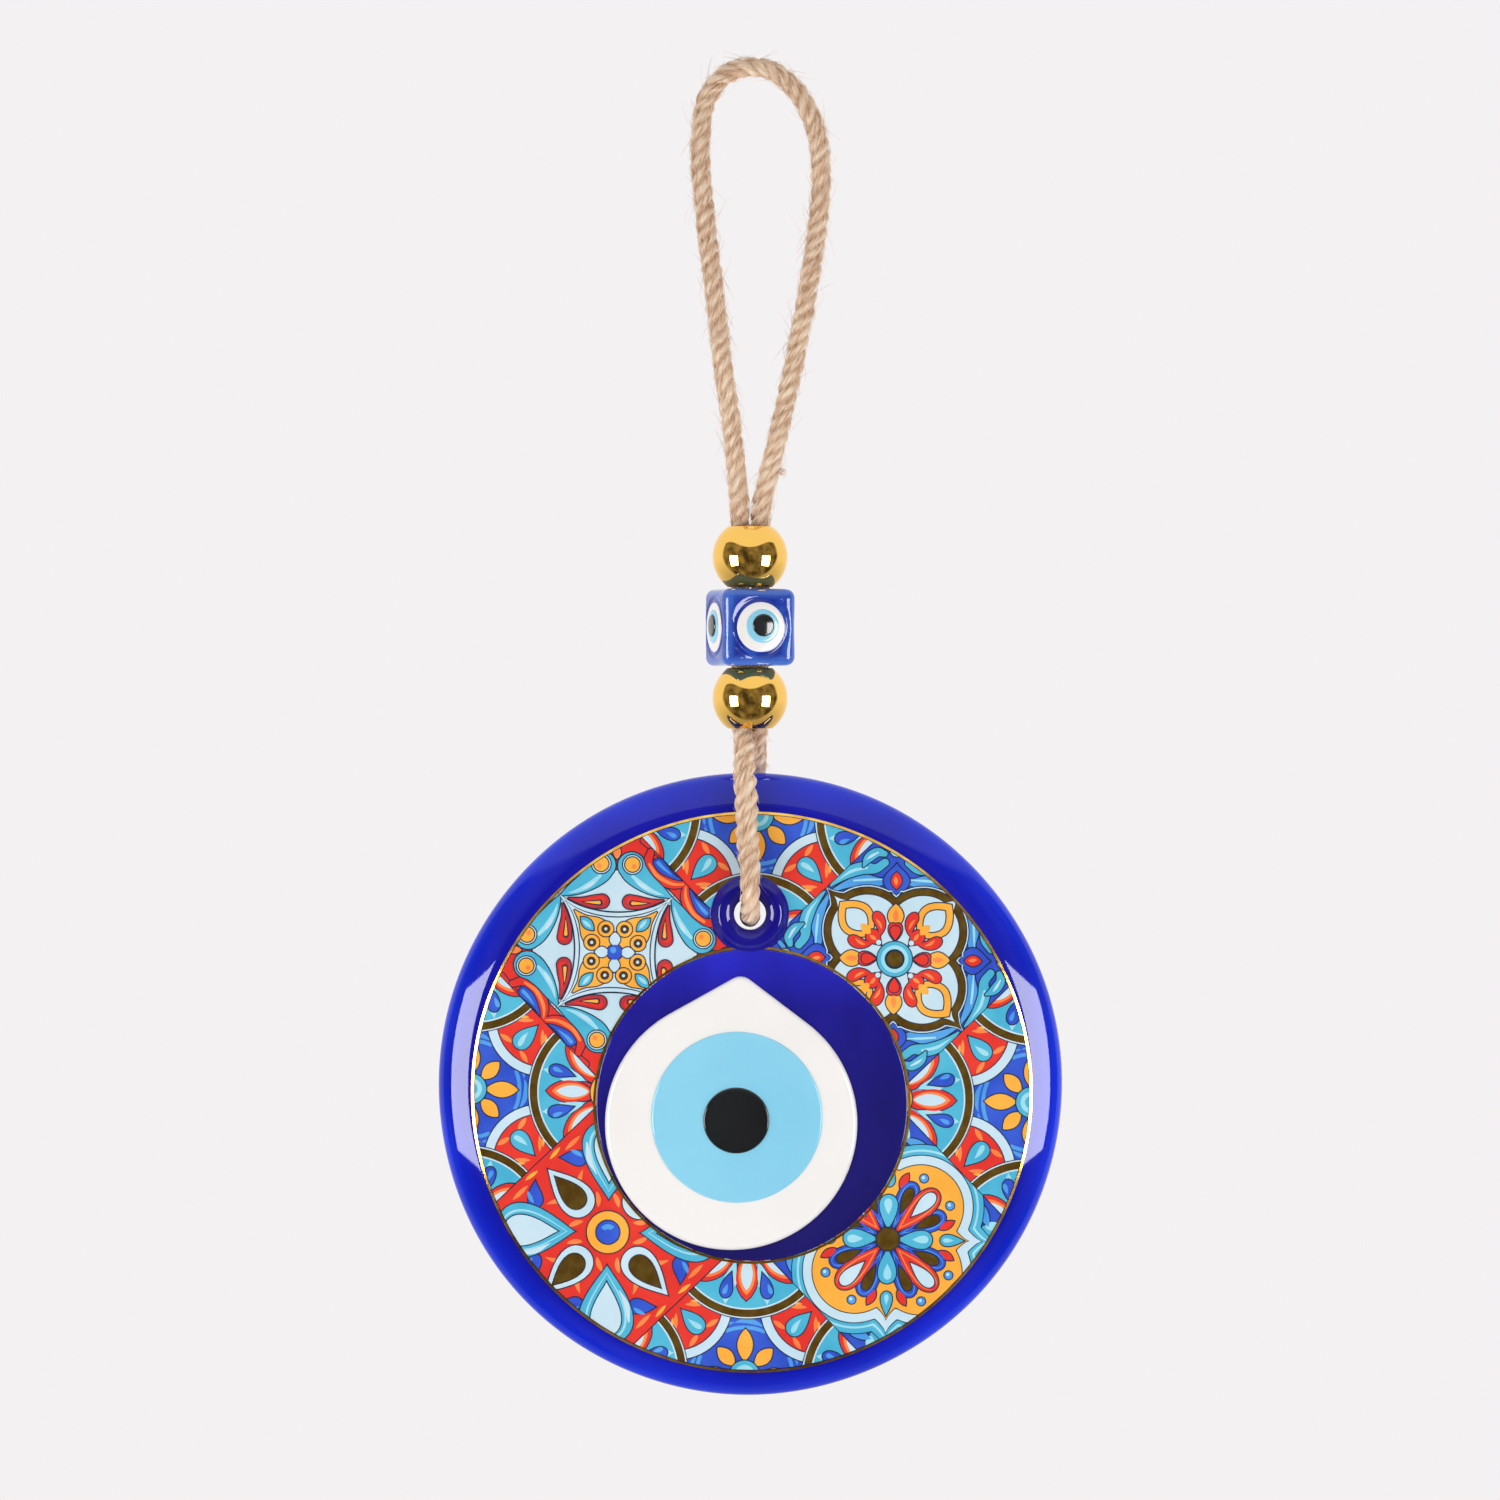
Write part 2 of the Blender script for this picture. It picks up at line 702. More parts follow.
def make_disc():
    verts = []
    profile = disc_profile()
    for centre, radius, y in profile:
        for x, _, z in circle(Vector((centre.x, 0, centre.z)), radius, y, AROUND_DISC):
            dx, dz = x - DISC.x, z - DISC.z
            reach = math.hypot(dx, dz)
            outer = smooth_step((reach / DISC_RADIUS - 0.88) / 0.12)
            grow = 1 + rim_wobble(dx, dz) * outer / max(reach, MM)
            verts.append((DISC.x + dx * grow, y, DISC.z + dz * grow))
    disc = mesh_piece("cobalt_glass_disc", verts, ring_faces(len(profile), AROUND_DISC, closed_rings=True))
    point_outwards(disc)
    return disc


MEDALLION_EDGE = 0.35 * MM
MEDALLION_HEIGHT = 0.32 * MM


def make_medallion():
    """The plain blue round in the middle, which stands a hair above the print."""
    edge = MEDALLION_EDGE
    top = FRONT_Y - MEDALLION_HEIGHT
    rings = [circle(MEDALLION, MEDALLION_RADIUS - FOIL_WIDTH, FRONT_Y + 0.5 * MM, 256)]
    for i in range(7):
        angle = math.pi / 2 * i / 6
        rings.append(circle(
            MEDALLION,
            MEDALLION_RADIUS - FOIL_WIDTH - edge * (1 - math.cos(angle)),
            FRONT_Y + (top - FRONT_Y) * math.sin(angle),
            256,
        ))
    for i in range(1, 13):
        share = i / 13
        radius = (MEDALLION_RADIUS - FOIL_WIDTH - edge) * (1 - share)
        rings.append(circle(MEDALLION, radius, top - 0.03 * MM * smooth_step(share * 2), 256))
    return capped_rings("cobalt_glass_medallion", rings)


BRIGHTENING_FROM = 40 * MM


def cobalt_material():
    """Cobalt glass: deep in the middle of the disc and brighter towards its thin rim."""
    nodes = Nodes("cobalt_glass")
    reach = nodes.distance((DISC.x, 0, DISC.z), (1, 0, 1))
    colour = nodes.ramp(
        nodes.share(reach, BRIGHTENING_FROM, DISC_RADIUS),
        (0.0, srgb(26, 20, 146)),
        (0.5, srgb(22, 24, 168)),
        (0.8, srgb(16, 36, 198)),
        (1.0, srgb(14, 54, 222)),
    )
    cloud = nodes.ramp(nodes.noise(45, 2), (0.3, (0.72, 0.72, 0.8, 1)), (0.7, (1.1, 1.1, 1.1, 1)))
    nodes.link(nodes.times(colour, cloud), nodes.shader.inputs["Base Color"])
    nodes.set(Roughness=0.04, IOR=1.46)
    nodes.bump(nodes.noise(70, 1), 0.05 * MM)
    return nodes.material


def middle_glass_material():
    """The same glass where it lies thick in the middle: light at the top, nearly black at the bottom."""
    nodes = Nodes("cobalt_glass_middle")
    split = nodes.add("ShaderNodeSeparateXYZ")
    nodes.link(nodes.add("ShaderNodeTexCoord").outputs["Object"], split.inputs[0])
    colour = nodes.ramp(
        nodes.share(split.outputs["Z"], MEDALLION.z - MEDALLION_RADIUS, MEDALLION.z + MEDALLION_RADIUS),
        (0.1, srgb(30, 26, 104)),
        (0.5, srgb(32, 28, 122)),
        (0.8, srgb(34, 30, 150)),
        (1.0, srgb(44, 46, 205)),
    )
    streaks = nodes.noise(60, 4, (1, 1, 0.45))
    cloud = nodes.ramp(streaks, (0.35, (0.75, 0.75, 0.78, 1)), (0.7, (1.25, 1.2, 1.25, 1)))
    nodes.link(nodes.times(colour, cloud), nodes.shader.inputs["Base Color"])
    nodes.set(Roughness=0.06, IOR=1.46)
    nodes.bump(nodes.noise(70, 1), 0.05 * MM)
    return nodes.material


def make_glass():
    cobalt = cobalt_material()
    disc = make_disc()
    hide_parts("glass_disc")
    for piece, material in ((disc, cobalt), (make_medallion(), middle_glass_material())):
        piece.data.materials.append(material)
        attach(piece, "disc")


make_glass()


# ---- The eye ----
drop_low, drop_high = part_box("white_glass_drop")
iris_low, iris_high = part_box("light_blue_iris")
pupil_low, pupil_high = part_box("black_pupil")
DROP_RADIUS = (drop_high.x - drop_low.x) / 2
DROP = Vector(((drop_low.x + drop_high.x) / 2, 0, drop_low.z + DROP_RADIUS))
TIP_RADIUS = 2.4 * MM
TIP = Vector((DROP.x + 1.5 * MM, 0, drop_high.z - TIP_RADIUS))


def drop_outline(count=220):
    """A teardrop: a large round and a small round at the tip, joined by two straight flanks."""
    axis = TIP - DROP
    lean = math.atan2(axis.z, axis.x)
    spread = math.acos((DROP_RADIUS - TIP_RADIUS) / axis.length)
    points = []
    large = int(count * 0.8)
    for i in range(large):
        angle = lean + spread + (2 * math.pi - 2 * spread) * i / (large - 1)
        points.append((DROP.x + DROP_RADIUS * math.cos(angle), DROP.z + DROP_RADIUS * math.sin(angle)))
    small = count - large
    for i in range(small):
        angle = lean - spread + 2 * spread * i / (small - 1)
        points.append((TIP.x + TIP_RADIUS * math.cos(angle), TIP.z + TIP_RADIUS * math.sin(angle)))
    return resampled(points, count)


def resampled(points, count):
    points = np.array(points + [points[0]])
    along = np.concatenate(([0], np.cumsum(np.linalg.norm(np.diff(points, axis=0), axis=1))))
    even = np.linspace(0, along[-1], count, endpoint=False)
    xs = np.interp(even, along, points[:, 0])
    zs = np.interp(even, along, points[:, 1])
    return [(float(x), float(z)) for x, z in zip(xs, zs)]


def fused_layer(name, outline, centre, back, front, edge, dome):
    """A blob of glass fused on the one below: an even outline, a rounded edge and a slightly domed face."""
    def drawn_in(shrink, y):
        return [
            (centre.x + (x - centre.x) * shrink, y, centre.z + (z - centre.z) * shrink)
            for x, z in outline
        ]

    rings = [[(x, back, z) for x, z in outline]]
    size = max(math.hypot(x - centre.x, z - centre.z) for x, z in outline)
    for i in range(8):
        angle = math.pi / 2 * i / 7
        shrink = 1 - edge / size * (1 - math.cos(angle))
        y = back + (front - back) * math.sin(angle)
        rings.append(drawn_in(shrink, y))
    for i in range(1, 11):
        shrink = (1 - edge / size) * (1 - i / 11)
        y = front - dome * (1 - shrink**2)
        rings.append(drawn_in(shrink, y))
    return capped_rings(name, rings)


def round_outline(centre, radius, count=160):
    return [(x, z) for x, _, z in circle(centre, radius, 0, count)]


def make_eye():
    surface = FRONT_Y - 0.3 * MM
    white = glass_material("white_glass", srgb(243, 242, 240), srgb(247, 246, 244), 0.16)
    blue = glass_material("light_blue_glass", srgb(136, 210, 240), srgb(146, 218, 245), 0.14)
    black = glass_material("black_glass", srgb(22, 24, 28), srgb(30, 34, 38), 0.1)
    iris = Vector(((iris_low.x + iris_high.x) / 2, 0, (iris_low.z + iris_high.z) / 2))
    pupil = Vector(((pupil_low.x + pupil_high.x) / 2, 0, (pupil_low.z + pupil_high.z) / 2))
    iris_radius = (iris_high.x - iris_low.x) / 2
    pupil_radius = (pupil_high.x - pupil_low.x) / 2
    overlap = 0.1 * MM
    layers = (
        (
            "eye_white_drop", drop_outline(), DROP, surface, drop_low.y, 0.9,
            white, "white_glass_drop", "white_glass",
        ),
        (
            "eye_blue_iris", round_outline(iris, iris_radius), iris, drop_low.y + overlap, iris_low.y, 0.35,
            blue, "light_blue_iris", "light_blue_glass",
        ),
        (
            "eye_black_pupil", round_outline(pupil, pupil_radius), pupil, iris_low.y + overlap, pupil_low.y,
            0.3, black, "black_pupil", "black_glass",
        ),
    )
    for name, outline, centre, back, front, edge, material, node, slot in layers:
        layer = fused_layer(name, outline, centre, back, front, edge * MM, 0.06 * MM)
        layer.data.materials.append(material)
        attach(layer, "disc")
        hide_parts(node)
    return white, blue, black


white_glass, blue_glass, black_glass = make_eye()


# ---- Beads ----
def make_gold_bead(name, node, body, material):
    low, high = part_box(node)
    centre = (low + high) / 2
    radius = (high.x - low.x) / 2
    half = (high.z - low.z) / 2
    bore = 3.6 * MM
    round_over = 0.22 * MM
    mouth = math.asin((half - round_over * 0.6) / radius)
    outline = []
    for i in range(41):
        angle = -mouth + 2 * mouth * i / 40
        outline.append((radius * math.cos(angle), radius * math.sin(angle)))
    edge_radius = outline[-1][0]
    lips = []
    for i in range(1, 6):
        angle = math.pi / 2 * i / 5
        lips.append((
            edge_radius - round_over * math.sin(angle) * 0.7,
            outline[-1][1] + round_over * 0.6 * math.sin(angle * 2) * 0.6,
        ))
    wall = [(bore, half - 0.5 * MM), (bore, 0), (bore, 0.5 * MM - half)]
    profile = outline + lips + wall + [(r, -z) for r, z in reversed(lips)]
    around = 128
    verts = []
    for r, z in profile:
        for i in range(around):
            angle = 2 * math.pi * i / around
            verts.append((centre.x + r * math.cos(angle), centre.y + r * math.sin(angle), centre.z + z))
    bead = mesh_piece(name, verts, ring_faces(len(profile), around, closed_rings=True))
    point_outwards(bead)
    bead.data.materials.append(material)
    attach(bead, body)
    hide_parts(node)


gold_plate = gold_material("gold_plate", srgb(255, 206, 104), 0.05)
make_gold_bead("upper_gold_plated_bead", "upper_gold_bead", "upper_bead", gold_plate)
make_gold_bead("lower_gold_plated_bead", "lower_gold_bead", "bead_stack", gold_plate)

CUBE_TURN = math.radians(17)
CUBE_SIDE = 12 * MM
CUBE_EDGE = 1.5 * MM
CUBE_BORE = 3.5 * MM
CUBE_SWELL = 0.06 * MM
# The shallow ring pressed round each of the cube's eyes.
PRESSED_RING_RADIUS = 4.55 * MM
PRESSED_RING_WIDTH = 0.32 * MM
PRESSED_RING_DEPTH = 0.22 * MM


def cube_places():
    low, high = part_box("cube_bead")
    return (low + high) / 2, (high.z - low.z) / 2


def turned_point(centre, x, y, z):
    return (
        centre.x + x * math.cos(CUBE_TURN) - y * math.sin(CUBE_TURN),
        centre.y + x * math.sin(CUBE_TURN) + y * math.cos(CUBE_TURN),
        centre.z + z,
    )


def edge_share(x, y, z, half, half_height):
    """How near a point of the cube is to the edge of its face, from 0 to 1."""
    across = min(abs(x), abs(y)) / half
    return smooth_step((max(across, abs(z) / half_height) - 0.66) / 0.34)


def make_cube():
    """A rounded glass cube with a bore, and a shallow pressed ring round each eye."""
    centre, half_height = cube_places()
    half = CUBE_SIDE / 2
    around = 192
    levels = 72

    def side_distance(angle):
        """How far the rounded square's wall is from its middle, in a direction."""
        c, s = abs(math.cos(angle)), abs(math.sin(angle))
        flat = half - CUBE_EDGE
        if half * s <= flat * c:
            return half / c
        if half * c <= flat * s:
            return half / s
        middle = flat * (c + s)
        return middle + math.sqrt(max(middle**2 - 2 * flat**2 + CUBE_EDGE**2, 0))

    rings = []
    for level in range(levels + 1):
        z = -half_height + 2 * half_height * level / levels
        over = max(abs(z) - (half_height - CUBE_EDGE), 0)
        inset = CUBE_EDGE - math.sqrt(max(CUBE_EDGE**2 - over**2, 0))
        ring = []
        for i in range(around):
            angle = 2 * math.pi * i / around
            reach = side_distance(angle) - inset
            x, y = reach * math.cos(angle), reach * math.sin(angle)
            across = y if abs(x) > abs(y) else x
            pool = math.hypot(across, z)
            dip = PRESSED_RING_DEPTH * math.exp(-(((pool - PRESSED_RING_RADIUS) / PRESSED_RING_WIDTH) ** 2))
            swell = CUBE_SWELL * math.sin(across / MM * 0.9 + z / MM * 0.7)
            shrink = 1 - (dip + swell * 0.5) / reach
            ring.append((x * shrink, y * shrink, z))
        rings.append(ring)

    def face_ring(ring, share, z):
        """A ring drawn in over the cube's flat end, at a share of the way from the bore to its own place."""
        result = []
        for x, y, _ in ring:
            reach = math.hypot(x, y)
            drawn = CUBE_BORE + (reach - CUBE_BORE) * share
            result.append((x * drawn / reach, y * drawn / reach, z))
        return result

    end_shares = (0.75, 0.5, 0.25, 0.08)
    top, bottom = rings[levels], rings[0]
    rings += [face_ring(top, share, half_height) for share in end_shares]
    bore_top = half_height - 0.25 * MM
    angles = [2 * math.pi * i / around for i in range(around)]
    for z in (bore_top, 0, -bore_top):
        rings.append([(CUBE_BORE * math.cos(a), CUBE_BORE * math.sin(a), z) for a in angles])
    rings += [face_ring(bottom, share, -half_height) for share in reversed(end_shares)]
    verts = [turned_point(centre, *p) for ring in rings for p in ring]
    cube = mesh_piece("cobalt_cube", verts, ring_faces(len(rings), around, closed_rings=True))
    edge = cube.data.attributes.new("edge", "FLOAT", "POINT")
    edge.data.foreach_set("value", [edge_share(*p, half, half_height) for ring in rings for p in ring])
    point_outwards(cube)
    return cube


def make_cube_eyes():
    centre, _ = cube_places()
    dots = (
        ("white", 4.0, 0.0, 0.32, white_glass, "white_glass", (0, 0)),
        ("light_blue", 2.7, 0.28, 0.5, blue_glass, "light_blue_glass", (0.2, 0.15)),
        ("black", 1.8, 0.46, 0.8, black_glass, "black_glass", (0.3, 0.28)),
    )
    for quarter, side in enumerate(("front", "right", "back", "left")):
        turn = CUBE_TURN + quarter * math.pi / 2
        for name, radius, back, front, material, slot, (dx, dz) in dots:
            rings = [eye_ring(radius, -back, dx, dz)]
            for i in range(1, 9):
                angle = math.pi / 2 * i / 8
                shrink = 1 - 0.22 * (1 - math.cos(angle))
                height = back + (front - back) * 0.8 * math.sin(angle)
                rings.append(eye_ring(radius * shrink, -height, dx, dz))
            for i in range(1, 7):
                shrink = 0.78 * (1 - i / 7)
                height = front - (front - back) * 0.2 * (shrink / 0.78) ** 2
                rings.append(eye_ring(radius * shrink, -height, dx, dz))
            placed = [
                [
                    (
                        centre.x + x * math.cos(turn) - (y - CUBE_SIDE / 2 + 0.05 * MM) * math.sin(turn),
                        centre.y + x * math.sin(turn) + (y - CUBE_SIDE / 2 + 0.05 * MM) * math.cos(turn),
                        centre.z + z,
                    )
                    for x, y, z in ring
                ]
                for ring in rings
            ]
            dot = capped_rings(f"cube_{side}_{name}_dot", placed)
            dot.data.materials.append(material)
            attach(dot, "cube")
            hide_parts(f"cube_eye_{side}_{name}")


def eye_ring(radius, y, dx, dz, around=72):
    return [
        (
            (dx + radius * math.cos(2 * math.pi * i / around)) * MM,
            y * MM,
            (dz + radius * math.sin(2 * math.pi * i / around)) * MM,
        )
        for i in range(around)
    ]


def cube_material():
    nodes = Nodes("cube_glass")
    cloud = nodes.noise(260, 3)
    colour = nodes.ramp(
        cloud,
        (0.3, srgb(18, 38, 136)),
        (0.5, srgb(26, 54, 164)),
        (0.72, srgb(52, 98, 200)),
    )
    edge = nodes.add("ShaderNodeAttribute", attribute_name="edge").outputs["Fac"]
    glow = nodes.add("ShaderNodeMix", data_type="RGBA")
    glow.inputs[7].default_value = srgb(72, 118, 214)
    nodes.link(edge, glow.inputs[0])
    nodes.link(colour, glow.inputs[6])
    nodes.link(glow.outputs[2], nodes.shader.inputs["Base Color"])
    nodes.set(Roughness=0.07, Coat_Weight=0.1, Coat_Roughness=0.03)
    nodes.bump(nodes.noise(350, 2), 0.08 * MM)
    return nodes.material


cube = make_cube()
cube.data.materials.append(cube_material())
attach(cube, "cube")
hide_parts("cube_bead")
make_cube_eyes()


# ---- Printed tiles: flat ink shapes, in layers a hundredth of a millimetre apart ----
TILE = 22.4  # from a tile's middle to its corner, in millimetres
MID_EDGE = TILE / math.sqrt(2)
PRINT_TURN = -1.4  # degrees that the whole pattern is turned
# The pattern's own middle, in the print's millimetres, and the tiles' shift along their rows.
LATTICE_X = 0.1
LATTICE_Z = (DISC.z - PRINT.z) / MM - 1.7
ROW_SHIFT = -0.2
LINE = 0.19
AXES = (0, 90, 180, 270)
DIAGONALS = (45, 135, 225, 315)
SHEET_DEPTH = 0.2
HOLE_WEDGES = 16
SMALLEST_SHAPE = 0.004  # square millimetres
SMALLEST_WEDGE = 0.002
SLOTS = 40  # heights within a level, so that no two overlapping shapes coincide

INKS = {
    "line": (srgb(14, 34, 62), srgb(22, 46, 78)),
    "royal": (srgb(38, 74, 200), srgb(56, 98, 220)),
    "sky": (srgb(66, 150, 232), srgb(92, 172, 240)),
    "cyan": (srgb(66, 176, 214), srgb(86, 192, 224)),
    "aqua": (srgb(150, 220, 240), srgb(172, 230, 244)),
    "pale": (srgb(196, 226, 242), srgb(208, 234, 247)),
    "red": (srgb(226, 44, 38), srgb(240, 58, 44)),
    "orange": (srgb(250, 128, 62), srgb(255, 150, 80)),
    "yellow": (srgb(250, 172, 56), srgb(255, 186, 72)),
    "crimson": (srgb(186, 42, 52), srgb(204, 56, 60)),
}


def drop(length, width, count=26):
    """A teardrop with its tip at the origin and its round end along +X."""
    points = []
    for i in range(count):
        t = 2 * math.pi * i / count
        points.append((
            length * (1 - math.cos(t)) / 2,
            width * 0.62 * math.sin(t) * abs(math.sin(t / 2)) ** 1.25,
        ))
    return list(reversed(points)) if turns_backwards(points) else points


def leaf(length, width, count=11, fullness=0.8):
    """A leaf along +X from the origin, pointed at both ends."""
    bulge = [width / 2 * math.sin(math.pi * i / count) ** fullness for i in range(count)]
    points = [(length * i / count, -y) for i, y in enumerate(bulge)]
    points += [(length * (1 - i / count), y) for i, y in enumerate(bulge)]
    return points


def disc_shape(radius, count=32):
    angles = [2 * math.pi * i / count for i in range(count)]
    return [(radius * math.cos(a), radius * math.sin(a)) for a in angles]


def arc_band(inner, outer, start, stop, count=28):
    angles = [math.radians(start + (stop - start) * i / count) for i in range(count + 1)]
    points = [(outer * math.cos(a), outer * math.sin(a)) for a in angles]
    points += [(inner * math.cos(a), inner * math.sin(a)) for a in reversed(angles)]
    return points


def star_outline(inside, reach, count=240):
    """The outline of a star-shaped region, given by a test of whether a point is inside it."""
    points = []
    for i in range(count):
        angle = 2 * math.pi * i / count
        low, high = 0.0, reach
        for _ in range(16):
            middle = (low + high) / 2
            if inside(middle * math.cos(angle), middle * math.sin(angle)):
                low = middle
            else:
                high = middle
        points.append((low * math.cos(angle), low * math.sin(angle)))
    return points


def stroke(path, count=10):
    """A brush stroke through (x, y, half width) places, with a round end at its last place."""
    path = [np.array(place, float) for place in path]
    path = [2 * path[0] - path[1]] + path + [2 * path[-1] - path[-2]]
    line = []
    for a, b, c, d in zip(path, path[1:], path[2:], path[3:]):
        for i in range(count):
            t = i / count
            bend = (2 * a - 5 * b + 4 * c - d) * t**2
            line.append((2 * b + (c - a) * t + bend + (3 * b - a - 3 * c + d) * t**3) / 2)
    line.append(path[-2])
    left, right = [], []
    for i, (x, y, half) in enumerate(line):
        ahead, back = line[min(i + 1, len(line) - 1)], line[max(i - 1, 0)]
        dx, dy = ahead[0] - back[0], ahead[1] - back[1]
        size = math.hypot(dx, dy) or 1
        half = max(half, 0.01)
        left.append((x - dy / size * half, y + dx / size * half))
        right.append((x + dy / size * half, y - dx / size * half))
    x, y, half = line[-1]
    heading = math.atan2(dy, dx)
    turns = [heading + math.pi / 2 - math.pi * i / 12 for i in range(1, 12)]
    cap = [(x + half * math.cos(turn), y + half * math.sin(turn)) for turn in turns]
    return left + cap + list(reversed(right))


def bent(points, degrees):
    """The same outline with its X axis bent into an arc."""
    length = max(x for x, _ in points)
    total = math.radians(degrees)
    radius = length / total
    return [
        (
            radius * math.sin(total * x / length) - y * math.sin(total * x / length),
            radius * (1 - math.cos(total * x / length)) + y * math.cos(total * x / length),
        )
        for x, y in points
    ]


def spun(points, degrees):
    c, s = math.cos(math.radians(degrees)), math.sin(math.radians(degrees))
    return [(x * c - y * s, x * s + y * c) for x, y in points]


def moved(points, dx, dy):
    return [(x + dx, y + dy) for x, y in points]


def flipped(points):
    return [(x, -y) for x, y in reversed(points)]


def at(points, radius, angle, turn=0):
    """Turns a shape and puts its origin at a polar place."""
    a = math.radians(angle)
    return moved(spun(points, angle + turn), radius * math.cos(a), radius * math.sin(a))


def signed_area(points):
    total = 0
    for (x0, y0), (x1, y1) in zip(points, points[1:] + points[:1]):
        total += x0 * y1 - x1 * y0
    return total / 2


def turns_backwards(points):
    return signed_area(points) < 0


def grown(points, distance):
    """The outline moved outwards by a distance, with its sharp corners cut to a short mitre."""
    if turns_backwards(points):
        points = list(reversed(points))
    result = []
    count = len(points)
    for i in range(count):
        (x0, y0), (x1, y1), (x2, y2) = points[i - 1], points[i], points[(i + 1) % count]
        ax, ay = y1 - y0, x0 - x1
        bx, by = y2 - y1, x1 - x2
        la, lb = math.hypot(ax, ay) or 1, math.hypot(bx, by) or 1
        nx, ny = ax / la + bx / lb, ay / la + by / lb
        size = math.hypot(nx, ny) or 1
        mitre = min(2 / size, 2.2)
        result.append((x1 + nx / size * distance * mitre, y1 + ny / size * distance * mitre))
    return result


def clipped(points, corners):
    """The part of an outline inside a convex polygon that turns anticlockwise (Sutherland-Hodgman)."""
    for (ax, ay), (bx, by) in zip(corners, corners[1:] + corners[:1]):
        if not points:
            return points
        sides = [(bx - ax) * (y - ay) - (by - ay) * (x - ax) for x, y in points]
        if min(sides) >= 0:
            continue
        kept = []
        for i, (x1, y1) in enumerate(points):
            x0, y0 = points[i - 1]
            s0, s1 = sides[i - 1], sides[i]
            if (s0 >= 0) != (s1 >= 0):
                t = s0 / (s0 - s1)
                kept.append((x0 + (x1 - x0) * t, y0 + (y1 - y0) * t))
            if s1 >= 0:
                kept.append((x1, y1))
        points = kept
    return points


class Sheet:
    """The printed sheet: ink shapes in the print's own millimetres, cut to the print's round."""

    def __init__(self):
        self.shapes = {}
        self.taken = {}
        self.round = disc_shape(PRINT_RADIUS / MM, 200)
        self.inner = ((MEDALLION.x - PRINT.x) / MM, (MEDALLION.z - PRINT.z) / MM, MEDALLION_RADIUS / MM - 0.6)

    def add(self, ink, points, level):
        if turns_backwards(points):
            points = list(reversed(points))
        if max(math.hypot(x, y) for x, y in points) > PRINT_RADIUS / MM - 0.05:
            points = clipped(points, self.round)
        if len(points) < 3 or abs(signed_area(points)) < SMALLEST_SHAPE:
            return
        cx, cy, radius = self.inner
        if max(math.hypot(x - cx, y - cy) for x, y in points) < radius:
            return
        height = level + self.free_slot(points, level) / SLOTS
        for part in self.clear_of_hole(points):
            self.shapes.setdefault(ink, []).append((part, height))

    def free_slot(self, points, level):
        """The lowest slot of the level that no shape has whose box overlaps this one's."""
        xs, ys = [x for x, _ in points], [y for _, y in points]
        box = (min(xs), max(xs), min(ys), max(ys))
        others = self.taken.setdefault(level, [])
        used = {
            slot for slot, (left, right, low, high) in others
            if left < box[1] and right > box[0] and low < box[3] and high > box[2]
        }
        slot = min(set(range(len(used) + 1)) - used)
        others.append((slot, box))
        return slot

    def clear_of_hole(self, points):
        """The shape as it is, or cut into wedges outside the lip's round where it comes near the hole."""
        hx, hz = (HOLE.x - PRINT.x) / MM, (HOLE.z - PRINT.z) / MM
        reach = (LIP_CREST + 0.3 * MM) / MM
        xs, ys = [x for x, _ in points], [y for _, y in points]
        if min(xs) > hx + reach or max(xs) < hx - reach or min(ys) > hz + reach or max(ys) < hz - reach:
            return [points]
        parts = []
        far = 100
        for k in range(HOLE_WEDGES):
            a, b = 2 * math.pi * k / HOLE_WEDGES, 2 * math.pi * (k + 1) / HOLE_WEDGES
            wedge = [
                (hx + reach * math.cos(a), hz + reach * math.sin(a)),
                (hx + far * math.cos(a), hz + far * math.sin(a)),
                (hx + far * math.cos(b), hz + far * math.sin(b)),
                (hx + reach * math.cos(b), hz + reach * math.sin(b)),
            ]
            part = clipped(points, wedge)
            if len(part) > 2 and abs(signed_area(part)) > SMALLEST_WEDGE:
                parts.append(part)
        return parts


class Tile:
    """One square tile that stands on its corner. Its own frame has the corners on the axes."""

    def __init__(self, sheet, column, row):
        self.sheet = sheet
        self.column = column
        self.row = row
        reach = TILE - 0.1
        self.corners = [(reach, 0), (0, reach), (-reach, 0), (0, -reach)]

    def draw(self, ink, points, level):
        if turns_backwards(points):
            points = list(reversed(points))
        points = clipped(points, self.corners)
        if len(points) < 3:
            return
        points = moved(points, self.column * TILE + ROW_SHIFT, self.row * TILE)
        points = spun(points, PRINT_TURN)
        self.sheet.add(ink, moved(points, LATTICE_X, LATTICE_Z), level)

    def outlined(self, ink, points, level, width=LINE):
        self.draw("line", grown(points, width), level)
        self.draw(ink, points, level + 1)

    def eightfold(self, ink, shape, level, line=True):
        """The shape, drawn for the upper corner's right half, turned to all corners and mirrored."""
        for corner in AXES:
            for copy in (shape, [(-x, y) for x, y in shape]):
                if line:
                    self.outlined(ink, spun(copy, corner), level)
                else:
                    self.draw(ink, spun(copy, corner), level)

    def around(self, count, ink, shape, radius, level, start=0, turn=0, line=True, mirrored=False):
        for i in range(count):
            angle = start + 360 / count * i
            for copy in ((shape, turn), (flipped(shape), -turn)) if mirrored else ((shape, turn),):
                placed = at(copy[0], radius, angle, copy[1])
                if line:
                    self.outlined(ink, placed, level)
                else:
                    self.draw(ink, placed, level)


def square(ink, tile):
    reach = TILE
    tile.draw("line", [(reach, 0), (0, reach), (-reach, 0), (0, -reach)], 0)
    reach -= 0.16
    tile.draw(ink, [(reach, 0), (0, reach), (-reach, 0), (0, -reach)], 1)


